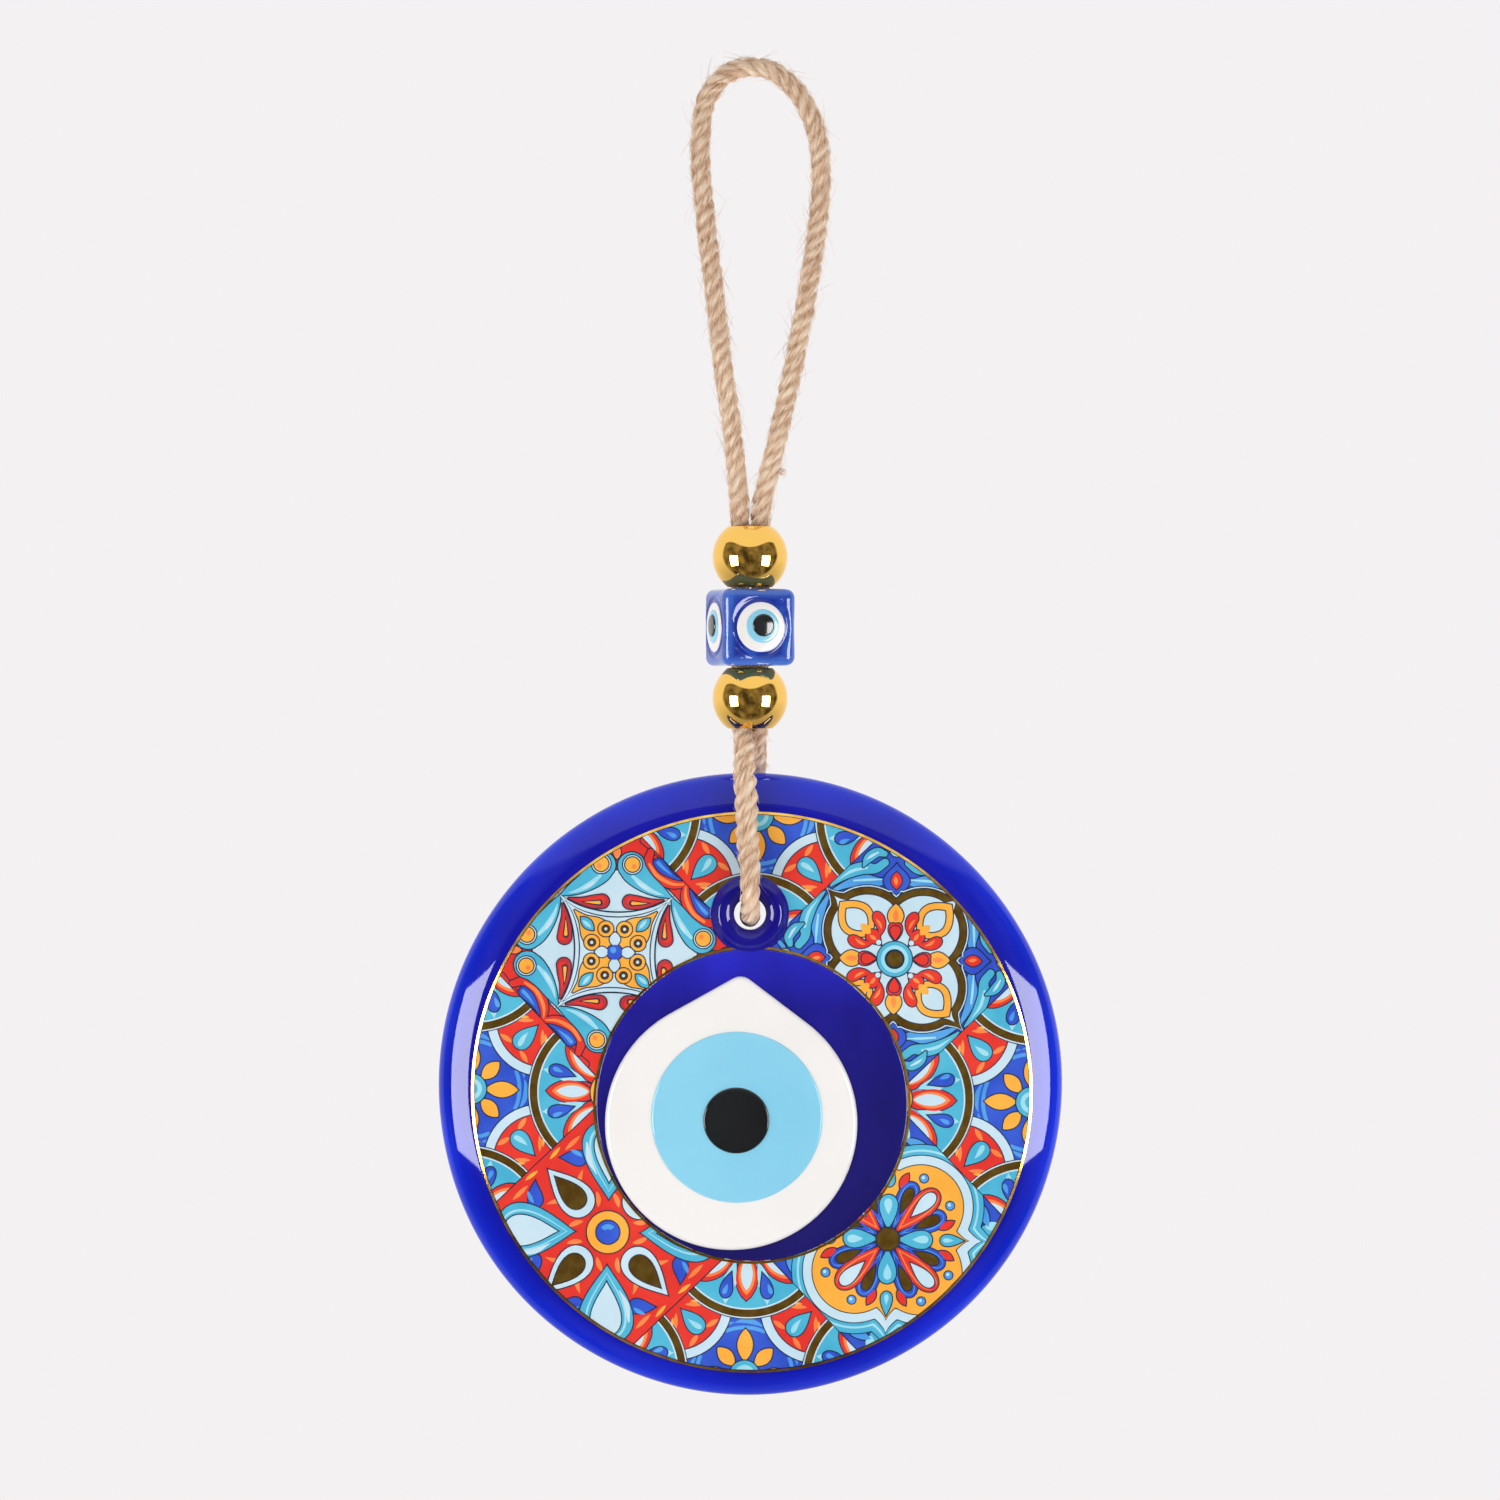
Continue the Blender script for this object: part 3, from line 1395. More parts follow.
def border_tile(tile):
    """The tile between the four large ones: a daisy, half fans on its sides and fans in its corners."""
    square("royal", tile)
    tile.around(4, "sky", arc_band(7.4, 8.0, -24, 24), 0, 2, start=0, line=False)
    tile.around(4, "sky", bent(leaf(5.0, 0.8), 60), 8.6, 2, start=12, turn=80, line=False, mirrored=True)
    tile.around(4, "yellow", leaf(5.2, 2.5), 2.3, 2)
    tile.around(4, "yellow", leaf(3.9, 2.2), 2.3, 2, start=45)
    tile.outlined("cyan", disc_shape(2.4), 4)
    tile.draw("aqua", disc_shape(1.7), 6)
    tile.draw("cyan", disc_shape(1.0), 7)
    for side in DIAGONALS:
        half_fan(tile, side)
    for corner in AXES:
        corner_fan(tile, corner)


def half_fan(tile, side):
    """A fan on the middle of a side: a pale band round a red ground with one drop."""
    def place(points, turn=0):
        return at(spun(points, turn), MID_EDGE, side)

    tile.outlined("pale", place(disc_shape(8.9, 64)), 2)
    tile.outlined("red", place(disc_shape(7.3, 56)), 4)
    for turn in (-1, 1):
        tile.draw("orange", place(moved(bent(leaf(4.6, 0.9), 30 * turn), 1.4, 0), 180 + 44 * turn), 6)
        tile.draw("yellow", place(moved(leaf(2.6, 0.45), 2.2, 0.2 * turn), 180 + 52 * turn), 7)
        tile.draw("orange", place(moved(spun(leaf(2.4, 0.8), 70 * turn), 6.0, 0), 180 + 8 * turn), 6)
    tile.outlined("cyan", place(moved(drop(4.9, 3.1), 1.2, 0), 180), 6)
    tile.draw("aqua", place(moved(bent(drop(2.7, 0.95), 25), 3.0, -0.25), 180), 8)


def corner_fan(tile, corner):
    """A quarter fan in a corner: a foil band round a cyan ground with white petals and blue drops."""
    def place(points, turn=0):
        return at(spun(points, turn), TILE, corner)

    tile.draw("line", place(disc_shape(13.4, 96)), 6)
    tile.draw("pale", place(disc_shape(13.25, 96)), 7)
    tile.draw("foil", place(disc_shape(13.05, 96)), 8)
    tile.draw("pale", place(disc_shape(11.85, 90)), 9)
    tile.draw("cyan", place(disc_shape(11.6, 90)), 10)
    for turn in (135, 180, 225):
        tile.outlined("red", place(moved(leaf(7.4, 3.5, fullness=0.7), 3.0, 0), turn), 11)
        tile.draw("orange", place(moved(leaf(6.2, 2.7, fullness=0.7), 3.3, 0), turn), 13)
        tile.draw("pale", place(moved(leaf(5.2, 1.9, fullness=0.7), 3.6, 0), turn), 14)
    for turn in (157.5, 202.5):
        sweep = 18 if turn < 180 else -18
        tile.draw("aqua", place(moved(bent(leaf(7.0, 1.9), sweep), 4.6, 0), turn), 11)
        tile.draw("pale", place(moved(bent(leaf(3.6, 0.5), sweep), 4.8, math.copysign(0.9, sweep)), turn), 11)
        tile.outlined("royal", place(moved(bent(drop(4.2, 2.1), sweep), 6.4, 0), turn), 12)
        tile.draw("sky", place(moved(drop(1.8, 0.8), 8.3, 0.2), turn), 14)
    for turn in (146, 169, 191, 214):
        tile.outlined("red", place(moved(leaf(3.4, 1.3), 2.6, 0), turn), 10)
    tile.draw("line", place(disc_shape(3.5, 40)), 15)
    tile.draw("yellow", place(disc_shape(3.3, 40)), 16)
    tile.draw("red", place(disc_shape(2.2, 36)), 17)
    tile.draw("orange", place(disc_shape(1.9, 36)), 18)


def astroid(reach, waist, count=192):
    """A star with four hollow sides: its points lie on the diagonals, its waists on the axes."""
    power = math.log(2) / math.log(math.sqrt(2) * reach / waist)

    def inside(x, y):
        u, v = abs(x + y) / math.sqrt(2), abs(x - y) / math.sqrt(2)
        return u**power + v**power <= reach**power

    return star_outline(inside, reach + 1, count)


# Brush strokes of the concave tile, as ink, (x, y, half width) places and level, for the right half of
# its upper corner: those outside its pale round, those over it, and the drops within the star.
CORNER_CURLS = (
    ("red", [(10.9, 11.6, 0.1), (8.6, 14.6, 0.55), (6.4, 16.4, 0.6), (4.2, 18.0, 0.5)], 2),
    ("orange", [(10.2, 12.7, 0.05), (8.4, 14.9, 0.22), (6.4, 16.6, 0.22)], 4),
    ("royal", [(10.4, 11.7, 0.05), (8.6, 12.5, 0.55), (6.7, 14.2, 0.95)], 4),
    ("sky", [(8.8, 12.6, 0.05), (7.4, 13.7, 0.25), (6.6, 14.5, 0.3)], 6),
)
SIDE_CURLS = (
    ("red", [(11.3, 11.2, 0.3), (9.0, 11.1, 0.7), (6.4, 12.2, 0.75), (5.0, 14.2, 0.7), (5.4, 16.2, 0.5)], 7),
    ("orange", [(10.8, 11.1, 0.1), (8.8, 11.2, 0.26), (6.5, 12.4, 0.3), (5.2, 14.2, 0.2)], 9),
    (
        "cyan",
        [(9.0, 8.9, 0.02), (7.0, 9.9, 0.9), (4.8, 11.2, 1.5), (3.1, 12.7, 1.95), (2.35, 13.9, 2.15)],
        10,
    ),
    ("aqua", [(7.6, 9.3, 0.05), (6.0, 9.8, 0.3), (4.2, 10.8, 0.45), (2.6, 12.2, 0.25)], 12),
    ("pale", [(5.4, 10.0, 0.05), (4.4, 10.6, 0.25), (3.6, 11.1, 0.15)], 13),
)
STAR_DROPS = (
    ("crimson", [(7.6, 8.5, 0.03), (5.6, 8.1, 0.5), (3.8, 8.0, 0.95), (2.2, 8.1, 1.1)], 14),
    ("red", [(6.2, 8.3, 0.03), (4.4, 8.2, 0.4), (2.4, 8.3, 0.7)], 16),
    ("line", [(5.6, 8.0, 0.03), (4.2, 7.9, 0.3), (2.6, 7.9, 0.5)], 17),
    ("yellow", [(5.0, 7.95, 0.03), (4.0, 7.9, 0.15), (2.7, 7.9, 0.28)], 18),
)
SPRAY = [(9.3, 0, 0.05), (7.4, 0, 0.75), (5.6, 0, 2.0), (4.0, 0, 2.3), (2.4, 0, 1.2)]


def concave_tile(tile):
    """A pale star with hollow sides on red: four yellow sprays, crimson drops, and curls along its sides."""
    square("red", tile)
    for ink, path, level in CORNER_CURLS:
        tile.eightfold(ink, stroke(path), level, line=ink not in ("orange", "sky"))
    tile.outlined("pale", disc_shape(13.1, 96), 5)
    for ink, path, level in SIDE_CURLS:
        tile.eightfold(ink, stroke(path), level, line=ink in ("red", "cyan"))
    tile.eightfold("pale", moved(disc_shape(1.5), 2.5, 14.1), 13)
    tile.eightfold("yellow", moved(disc_shape(1.15), 2.5, 14.1), 15)
    tile.eightfold("orange", moved(disc_shape(0.4, 14), 2.8, 13.8), 17, line=False)
    for corner in AXES:
        tile.outlined("foil", moved(disc_shape(1.15), *polar(17.9, corner)), 4)
        tile.outlined("orange", at(leaf(2.2, 1.2), 14.9, corner), 4)
    for ink, reach, waist, level in (("line", 13.3, 6.55, 14), ("pale", 12.9, 6.3, 15),
                                     ("line", 11.7, 5.75, 16), ("pale", 11.3, 5.55, 17)):
        tile.draw(ink, astroid(reach, waist), level)
    for ink, path, level in STAR_DROPS:
        tile.eightfold(ink, stroke(path), level, line=ink == "crimson")
    for spray in DIAGONALS:
        tile.outlined("yellow", at(stroke(SPRAY), 0, spray), 18)
        for turn in (-1, 1):
            place = polar(4.0, spray + 23 * turn)
            tile.outlined("yellow", moved(disc_shape(1.2), *place), 19)
            tile.draw("line", moved(disc_shape(0.72), *place), 21)
            tile.draw("foil", moved(disc_shape(0.52), *place), 22)
            tile.draw("pale", moved(disc_shape(0.25, 14), *place), 23)
        tile.outlined("cyan", at(leaf(2.9, 1.5), 4.9, spray), 21)
        tile.draw("aqua", at(leaf(1.9, 0.6), 5.4, spray, 6), 23)
        tile.outlined("yellow", at(leaf(2.6, 1.1), 0.8, spray), 18)
    tile.around(4, "pale", leaf(2.3, 1.7), 0.9, 20)
    tile.outlined("royal", disc_shape(1.2), 21)
    tile.draw("sky", moved(disc_shape(0.5), -0.25, 0.35), 23)


def polar(radius, angle):
    return radius * math.cos(math.radians(angle)), radius * math.sin(math.radians(angle))


# Scrolls of the flower tile's corners: ink, brush stroke and level, for the right half of the upper corner.
FLOWER_SCROLLS = (
    ("sky", [(0.4, 13.2, 0.05), (2.6, 12.3, 0.6), (5.2, 12.6, 0.8), (7.6, 11.9, 0.6), (9.6, 10.8, 0.1)], 2),
    ("aqua", [(1.6, 12.7, 0.02), (4.4, 12.6, 0.2), (6.8, 12.4, 0.15)], 4),
    ("cyan", [(10.6, 11.4, 0.1), (8.2, 13.4, 0.8), (5.6, 14.4, 0.95), (3.4, 14.4, 0.7), (1.9, 15.4, 0.6)], 4),
    ("aqua", [(9.4, 12.4, 0.02), (7.2, 13.9, 0.25), (4.8, 14.5, 0.2)], 6),
    ("cyan", [(5.4, 14.6, 0.1), (4.6, 16.0, 0.7), (3.2, 17.0, 0.7), (2.0, 16.8, 0.45)], 6),
    ("pale", [(4.9, 15.8, 0.02), (4.1, 16.4, 0.2), (3.0, 17.0, 0.1)], 8),
    ("sky", [(10.8, 10.2, 0.1), (12.0, 7.6, 0.5), (12.6, 5.4, 0.1)], 2),
    ("sky", [(0.1, 19.0, 0.3), (1.2, 17.8, 0.3), (2.2, 18.4, 0.35)], 6),
)


def flower_tile(tile):
    """Royal blue with a pale four-lobed flower edged in foil, a cyan ring, tulips and scrolls."""
    square("royal", tile)

    def lobes(grow):
        def inside(x, y):
            x, y = abs(x), abs(y)
            along, across = (x + y) / math.sqrt(2), abs(x - y) / math.sqrt(2)
            tip = along <= 13.8 + 1.3 * grow - 1.9 * across**0.7
            return math.hypot(x - 4.5, y - 4.5) <= 5.6 + grow or (tip and along > 8)

        return star_outline(inside, 18, 288)

    for ink, path, level in FLOWER_SCROLLS:
        tile.eightfold(ink, stroke(path), level, line=ink in ("cyan", "sky"))
    for side in AXES:
        tile.outlined("aqua", moved(disc_shape(1.2), *polar(17.6, side)), 8)
        tile.draw("pale", moved(disc_shape(0.6), *polar(17.7, side)), 10)
        tile.outlined("royal", at(leaf(5.6, 4.2, fullness=1.3), 9.7, side), 7)
        tile.outlined("red", at(leaf(2.7, 1.7), 11.2, side), 9)
        tile.draw("orange", at(leaf(1.4, 0.6), 11.8, side, 8), 11)
    tile.draw("line", lobes(1.75), 8)
    tile.draw("pale", lobes(1.6), 9)
    tile.draw("line", lobes(1.42), 10)
    tile.draw("foil", lobes(1.25), 11)
    tile.draw("line", lobes(0.25), 12)
    tile.draw("pale", lobes(0.1), 13)
    tile.around(4, "yellow", leaf(7.4, 5.6, fullness=0.85), 5.2, 14, start=45)
    tile.around(4, "pale", leaf(4.6, 3.3, fullness=0.85), 6.5, 16, start=45)
    tile.around(4, "yellow", leaf(2.2, 1.4), 5.6, 18, start=45, line=False)
    for spray in DIAGONALS:
        for turn in (-1, 1):
            hook = bent(drop(4.2, 1.9), -84 * turn)
            tile.outlined("red", moved(spun(hook, spray + 74 * turn), *polar(4.4, spray + 8 * turn)), 15)
            tile.draw("orange", moved(spun(bent(leaf(2.0, 0.45), -40 * turn), spray + 34 * turn),
                                      *polar(5.2, spray + 20 * turn)), 17)
        tile.outlined("red", at(drop(3.0, 2.4), 3.1, spray), 15)
        tile.draw("orange", at(leaf(1.4, 0.6), 4.2, spray, 10), 17)
        tile.outlined("pale", moved(disc_shape(0.42, 14), *polar(3.7, spray)), 17, 0.1)
    tile.around(4, "yellow", leaf(3.8, 2.5), 5.0, 15)
    tile.around(4, "orange", leaf(2.0, 0.9), 5.9, 17, line=False)
    for side in AXES:
        for turn in (-1, 1):
            tile.outlined("red", at(bent(drop(2.9, 1.5), -40 * turn), 2.9, side, 26 * turn), 16)
        tile.outlined("red", at(drop(2.3, 1.8), 3.0, side), 17)
    tile.draw("line", disc_shape(2.95, 40), 17)
    tile.draw("cyan", disc_shape(2.78, 40), 18)
    tile.draw("aqua", disc_shape(2.2, 40), 19)
    tile.draw("line", disc_shape(1.6, 36), 20)
    tile.draw("foil", disc_shape(1.25, 36), 21)


def ember_tile(tile):
    """Red with an orange sparkle: a ringed blue dot, four broad drops on the axes and four foil drops."""
    square("red", tile)
    for i in range(8):
        angle = 22.5 + 45 * i
        tile.draw("orange", at(bent(leaf(2.6, 0.8), 30), 4.3, angle, 30 if i % 2 else -30), 2)
    for side in DIAGONALS:
        for turn in (-1, 1):
            place = polar(14.8, side + 16 * turn)
            tile.draw("orange", moved(spun(leaf(3.4, 0.7), side + 90 * turn), *place), 2)
            tile.outlined("royal", at(bent(drop(4.3, 2.6), 20 * turn), 14.2, side + 11 * turn, 118 * turn), 3)
            tile.draw("sky", at(bent(leaf(2.2, 0.7), 30 * turn), 14.4, side + 19 * turn, 128 * turn), 5)
    for spray in DIAGONALS:
        for turn in (-1, 1):
            tile.draw("orange", at(bent(leaf(5.4, 0.9), 40 * turn), 6.6, spray, 30 * turn), 3)
            place = polar(14.9, spray + 5 * turn)
            tile.draw("yellow", moved(spun(leaf(2.6, 0.6), spray + 84 * turn), *place), 3)
    tile.around(4, "cyan", drop(12.6, 9.6, 40), 5.3, 4)
    tile.around(4, "aqua", drop(10.9, 7.4, 40), 6.4, 6, line=False)
    tile.around(4, "cyan", drop(10.4, 6.6, 40), 6.6, 7, line=False)
    tile.around(4, "pale", drop(8.6, 5.4, 40), 8.0, 8)
    for side in AXES:
        tile.draw("pale", at(stroke([(9.2, 2.0, 0.05), (11.6, 3.3, 0.4), (14.2, 3.7, 0.15)]), 0, side), 8)
    for spray in DIAGONALS:
        inward = [(-x, -y) for x, y in drop(9.6, 6.0, 40)]
        tile.outlined("pale", at(inward, 13.9, spray), 6)
        inner = [(-x, -y) for x, y in drop(6.6, 3.8, 40)]
        tile.outlined("foil", at(inner, 12.3, spray), 8, 0.16)
    tile.outlined("yellow", disc_shape(3.35, 48), 8)
    tile.outlined("royal", disc_shape(1.85, 40), 10)
    tile.draw("sky", arc_band(0.5, 1.3, 40, 150), 12)


def sun_tile(tile):
    """Yellow four-lobed field in pale and cyan bands: a foil dot with sixteen drops round it."""
    square("royal", tile)

    def field(grow):
        def inside(x, y):
            x, y = abs(x), abs(y)
            if math.hypot(x - 5.2, y - 5.2) <= 6.7 + grow:
                return True
            along, across = max(x, y), min(x, y)
            return along <= 12.8 + 1.4 * grow - 1.5 * across**0.7 and across < 4.5

        return star_outline(inside, 20, 288)

    for side in AXES:
        for turn in (-1, 1):
            tile.outlined("cyan", moved(spun(bent(drop(7.2, 3.6), 60 * turn), side + 150 * turn),
                                        *polar(21.2, side + 1 * turn)), 2)
            tile.draw("aqua", moved(spun(bent(drop(4.4, 1.6), 40 * turn), side + 146 * turn),
                                    *polar(19.8, side + 4 * turn)), 4)
            tile.outlined("sky", moved(spun(bent(leaf(6.4, 1.8), 50 * turn), side + 104 * turn),
                                       *polar(16.2, side + 8 * turn)), 3)
        tile.outlined("yellow", at(leaf(2.4, 1.2), 18.6, side), 5)
    for ink, grow, level in (("line", 3.45, 6), ("cyan", 3.3, 7), ("aqua", 2.55, 8), ("cyan", 2.2, 9),
                             ("line", 1.72, 10), ("pale", 1.56, 11), ("line", 0.2, 12), ("yellow", 0.04, 13)):
        tile.draw(ink, field(grow), level)
    for i in range(8):
        outside = 1 if i % 2 == 0 else -1
        angle = 22.5 + 45 * i
        dot = polar(11.3, angle + 7.0 * outside)
        tile.draw("line", moved(disc_shape(0.82, 20), *dot), 14)
        tile.draw("sky", moved(disc_shape(0.64, 20), *dot), 15)
        tile.draw("pale", moved(disc_shape(0.26, 14), dot[0] - 0.12, dot[1] + 0.12), 16)
        petal = angle + 1.5 * outside
        tile.outlined("royal", at(drop(8.4, 3.6, 34), 1.6, petal), 14)
        tile.draw("sky", at(drop(7.3, 2.7, 34), 2.4, petal), 16)
        tile.draw("royal", at(drop(6.9, 2.3, 34), 2.7, petal), 17)
        tile.outlined("foil", at(drop(4.3, 1.7, 30), 4.6, petal), 18)
    for spray in DIAGONALS:
        tile.outlined("red", at(drop(9.6, 4.1, 34), 1.5, spray), 16)
        tile.draw("orange", at(drop(8.6, 3.2, 34), 2.3, spray), 18)
        tile.draw("red", at(drop(8.1, 2.7, 34), 2.8, spray), 19)
        tile.outlined("pale", at(drop(5.2, 2.3, 30), 5.2, spray), 20)
    for side in AXES:
        tile.outlined("cyan", at(drop(5.6, 3.2), 1.5, side), 17)
        tile.draw("aqua", at(drop(2.6, 1.4), 3.9, side, 2), 19)
        outward = [(-x, -y) for x, y in drop(3.8, 2.0)]
        tile.outlined("cyan", at(outward, 12.2, side), 14)
        tile.draw("aqua", at([(-x, -y) for x, y in drop(1.8, 0.8)], 10.6, side), 16)
        for turn in (-1, 1):
            place = polar(8.4, side + 12 * turn)
            tile.outlined("red", moved(spun(leaf(2.7, 1.2), side + 30 * turn), *place), 14)
    tile.outlined("foil", disc_shape(1.8, 36), 21, 0.2)


TILES = (
    (concave_tile, -1, 1),
    (flower_tile, 1, 1),
    (ember_tile, -1, -1),
    (sun_tile, 1, -1),
    (border_tile, 0, 2),
    (border_tile, 0, -2),
    (border_tile, -2, 0),
    (border_tile, 2, 0),
    (border_tile, 0, 0),
)


def ink_material(name, dark, light):
    """Glossy screen ink with a faint mottle."""
    nodes = Nodes("ink_" + name)
    nodes.link(nodes.ramp(nodes.noise(160, 3), (0.3, dark), (0.7, light)), nodes.shader.inputs["Base Color"])
    nodes.set(Roughness=0.3, Coat_Weight=0.6, Coat_Roughness=0.05)
    nodes.bump(nodes.noise(90, 1), 0.03 * MM)
    return nodes.material


def foil_material(name):
    """Hot-stamped gold foil: a nearly clean mirror that dips and swells with the glass below it."""
    nodes = Nodes(name)
    wear = nodes.noise(500, 3)
    nodes.link(
        nodes.ramp(wear, (0.35, srgb(222, 172, 78)), (0.65, srgb(255, 214, 112))),
        nodes.shader.inputs["Base Color"],
    )
    nodes.set(Metallic=1.0)
    nodes.link(nodes.remap(wear, 0.1, 0.2), nodes.shader.inputs["Roughness"])
    nodes.bump(nodes.noise(220, 2), 0.06 * MM, 0.6)
    return nodes.material


def flat_ring(name, centre, inner, outer, back, front, lean, around=320):
    """A thin ring whose front face leans outwards by an angle."""
    drop_back = (outer - inner) * math.tan(lean)
    outer_front = min(front + drop_back, back - 0.01 * MM)
    profile = [(inner, back), (outer, back), (outer, outer_front), (inner, front)]
    verts = []
    for radius, y in profile:
        verts += circle(centre, radius, y, around)
    ring = mesh_piece(name, verts, ring_faces(len(profile), around, closed_rings=True), smooth=False)
    point_outwards(ring)
    return ring


def make_print():
    sheet = Sheet()
    for draw_tile, column, row in TILES:
        draw_tile(Tile(sheet, column, row))
    foil = foil_material("gold_foil")
    deepest = max(level for shapes in sheet.shapes.values() for _, level in shapes)
    sheet.add("line", disc_shape(PRINT_RADIUS / MM, 200), -2)
    base_y = FRONT_Y - 0.04 * MM
    step = (SHEET_DEPTH + 0.04) * MM / (deepest + 1)
    for ink, shapes in sheet.shapes.items():
        verts, faces = [], []
        for points, level in shapes:
            y = base_y - step * (level + 1)
            faces.append(tuple(range(len(verts), len(verts) + len(points))))
            verts += [(PRINT.x + x * MM, y, PRINT.z + z * MM) for x, z in points]
        piece = mesh_piece("print_" + ink, verts, faces, smooth=False)
        piece.data.materials.append(foil if ink == "foil" else ink_material(ink, *INKS[ink]))
        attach(piece, "disc")
        if ink == "line":
            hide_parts("printed_tile_ring")
    lines = (
        ("outer_foil", "outer_foil_line", PRINT, OUTER_FOIL_RADIUS - FOIL_WIDTH, OUTER_FOIL_RADIUS, 24),
        ("inner_foil", "inner_foil_line", MEDALLION, MEDALLION_RADIUS - FOIL_WIDTH, MEDALLION_RADIUS, 8),
    )
    foil_front = base_y - step * (deepest + 2)
    for name, node, centre, inner, outer, lean in lines:
        line = flat_ring(name, centre, inner, outer, FRONT_Y, foil_front, math.radians(lean))
        line.data.materials.append(foil)
        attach(line, "disc")
        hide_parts(node)


make_print()


# ---- Floor, light and world ----
FLOOR_RADIUS = 0.75
FLOOR_DEPTH = 0.16
PALE = srgb(244, 241, 242)


def make_floor():
    """A round of pale paper below the ornament, which fades into the studio towards its edge."""
    height = cad_box[0].z - FLOOR_DEPTH
    around = 96
    verts = [(0, 0, height)]
    for i in range(1, 13):
        verts += [(x, z, height) for x, _, z in circle(Vector((0, 0, 0)), FLOOR_RADIUS * i / 12, 0, around)]
    faces = [(0, 1 + i, 1 + (i + 1) % around) for i in range(around)]
    faces += [tuple(v + 1 for v in face) for face in ring_faces(12, around)]
    floor = mesh_piece("floor", verts, faces)
    point_outwards(floor)
    nodes = Nodes("floor_paper")
    nodes.link(
        nodes.ramp(nodes.noise(8, 2), (0.3, (0.86, 0.85, 0.86, 1)), (0.7, (0.9, 0.89, 0.9, 1))),
        nodes.shader.inputs["Base Color"],
    )
    nodes.set(Roughness=0.8)
    reach = nodes.distance((0, 0, 0), (1, 1, 0))
    fade = nodes.share(reach, FLOOR_RADIUS * 0.2, FLOOR_RADIUS * 0.9, "SMOOTHSTEP")
    glow = nodes.add("ShaderNodeEmission")
    glow.inputs["Color"].default_value = PALE
    mix = nodes.add("ShaderNodeMixShader")
    nodes.link(fade, mix.inputs["Fac"])
    nodes.link(nodes.shader.outputs["BSDF"], mix.inputs[1])
    nodes.link(glow.outputs["Emission"], mix.inputs[2])
    nodes.link(mix.outputs["Shader"], nodes.tree.nodes["Material Output"].inputs["Surface"])
    floor.data.materials.append(nodes.material)
    floor.visible_glossy = False


def make_softbox(name, place, size, power, target, for_gloss):
    """A rectangular light that only shows in reflections, or one that only lights."""
    data = bpy.data.lights.new(name, "AREA")
    data.shape = "RECTANGLE"
    data.size, data.size_y = size
    data.energy = power
    data.color = (1.0, 0.99, 0.985)
    light = bpy.data.objects.new(name, data)
    light.location = place
    light.rotation_euler = (target - Vector(place)).to_track_quat("-Z", "Y").to_euler()
    light.visible_glossy = for_gloss
    light.visible_diffuse = not for_gloss
    bpy.context.scene.collection.objects.link(light)


OVERHEAD_REACH = 1.9
OVERHEAD_WIDTH = 0.87
UNDER_REACH = 0.4


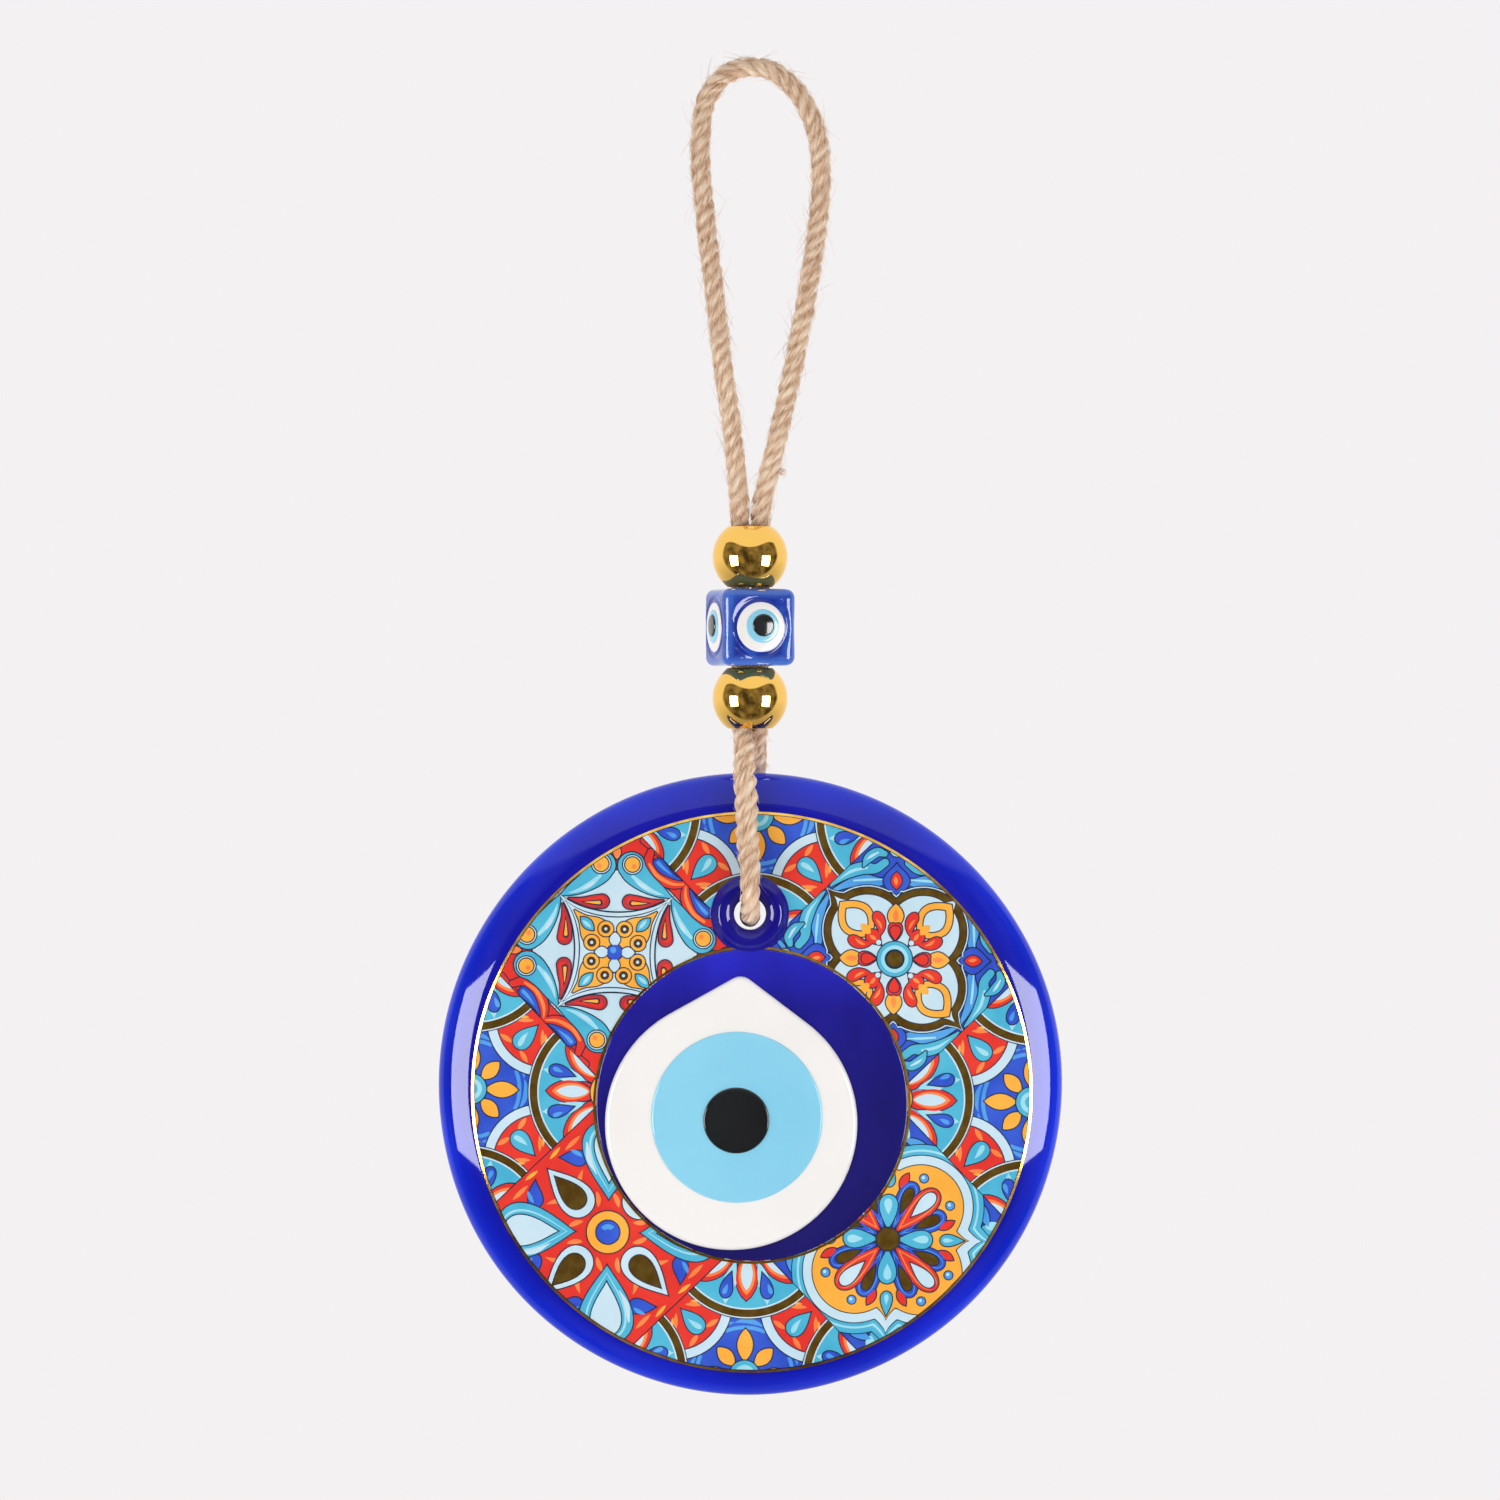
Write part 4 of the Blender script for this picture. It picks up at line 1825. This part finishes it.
def make_world():
    """A pale studio all round and overhead, dim and uneven where the photographer stands."""
    world = bpy.data.worlds.new("studio")
    bpy.context.scene.world = world
    world.use_nodes = True
    tree = world.node_tree

    def math_node(operation, *values):
        node = tree.nodes.new("ShaderNodeMath")
        node.operation = operation
        for socket, value in zip(node.inputs, values):
            if isinstance(value, (int, float)):
                socket.default_value = value
            else:
                tree.links.new(value, socket)
        return node.outputs[0]

    def ramp_node(factor, low, high):
        node = tree.nodes.new("ShaderNodeValToRGB")
        tree.links.new(factor, node.inputs["Fac"])
        for element, (place, colour) in zip(node.color_ramp.elements, (low, high)):
            element.position = place
            element.color = colour
        return node.outputs["Color"]

    def mix_node(factor, first, second):
        node = tree.nodes.new("ShaderNodeMix")
        node.data_type = "RGBA"
        tree.links.new(factor, node.inputs[0])
        for socket, value in ((node.inputs[6], first), (node.inputs[7], second)):
            if isinstance(value, tuple):
                socket.default_value = value
            else:
                tree.links.new(value, socket)
        return node.outputs[2]

    direction = tree.nodes.new("ShaderNodeTexCoord").outputs["Generated"]
    split = tree.nodes.new("ShaderNodeSeparateXYZ")
    tree.links.new(direction, split.inputs[0])
    aside = math_node("MULTIPLY", split.outputs["X"], split.outputs["X"])
    narrowing = math_node("MULTIPLY_ADD", aside, -1 / OVERHEAD_WIDTH**2, 1)
    overhead = math_node("MULTIPLY", math_node("MAXIMUM", narrowing, 0), OVERHEAD_REACH)
    above = math_node("MULTIPLY", math_node("MAXIMUM", split.outputs["Z"], 0), overhead)
    below = math_node("MULTIPLY", math_node("MINIMUM", split.outputs["Z"], 0), -UNDER_REACH)
    behind = math_node("ADD", math_node("ADD", above, below), split.outputs["Y"])
    lit = ramp_node(math_node("MULTIPLY_ADD", behind, 0.5, 0.5), (0.49, (0, 0, 0, 1)), (0.55, (1, 1, 1, 1)))
    clutter = tree.nodes.new("ShaderNodeTexNoise")
    clutter.inputs["Scale"].default_value = 2.4
    clutter.inputs["Detail"].default_value = 3
    tree.links.new(direction, clutter.inputs["Vector"])
    dim = ramp_node(clutter.outputs["Fac"], (0.38, (0.06, 0.052, 0.045, 1)), (0.66, (0.32, 0.29, 0.24, 1)))
    height = math_node("ADD", split.outputs["Z"], 1)
    bright = ramp_node(height, (0.1, (0.42, 0.41, 0.42, 1)), (0.95, (0.95, 0.93, 0.94, 1)))
    studio = mix_node(lit, dim, bright)
    seen = tree.nodes.new("ShaderNodeLightPath").outputs["Is Camera Ray"]
    tree.links.new(mix_node(seen, studio, PALE), tree.nodes["Background"].inputs["Color"])


GLOSS_POWER = 1.25
SOFTBOX_POWER = 0.58
AIM_RISE = 20 * MM
SOFTBOX_SIZE = (0.17, 0.19)
SOFTBOX_ASIDE = 0.29
SOFTBOX_FORWARD = 0.235
SOFTBOX_ABOVE_DISC = 0.005
GLOSS_STEP = 0.01  # the glossy light's share of the way to its target, so that the two don't coincide
make_floor()
make_world()
middle = Vector((0, 0, DISC.z + AIM_RISE))
for side in (-1, 1):
    place = Vector((side * SOFTBOX_ASIDE, -SOFTBOX_FORWARD, DISC.z + SOFTBOX_ABOVE_DISC))
    nearer = place.lerp(middle, GLOSS_STEP)
    make_softbox(f"softbox_{side}", place, SOFTBOX_SIZE, SOFTBOX_POWER, middle, False)
    make_softbox(f"softbox_gloss_{side}", nearer, SOFTBOX_SIZE, GLOSS_POWER, middle, True)
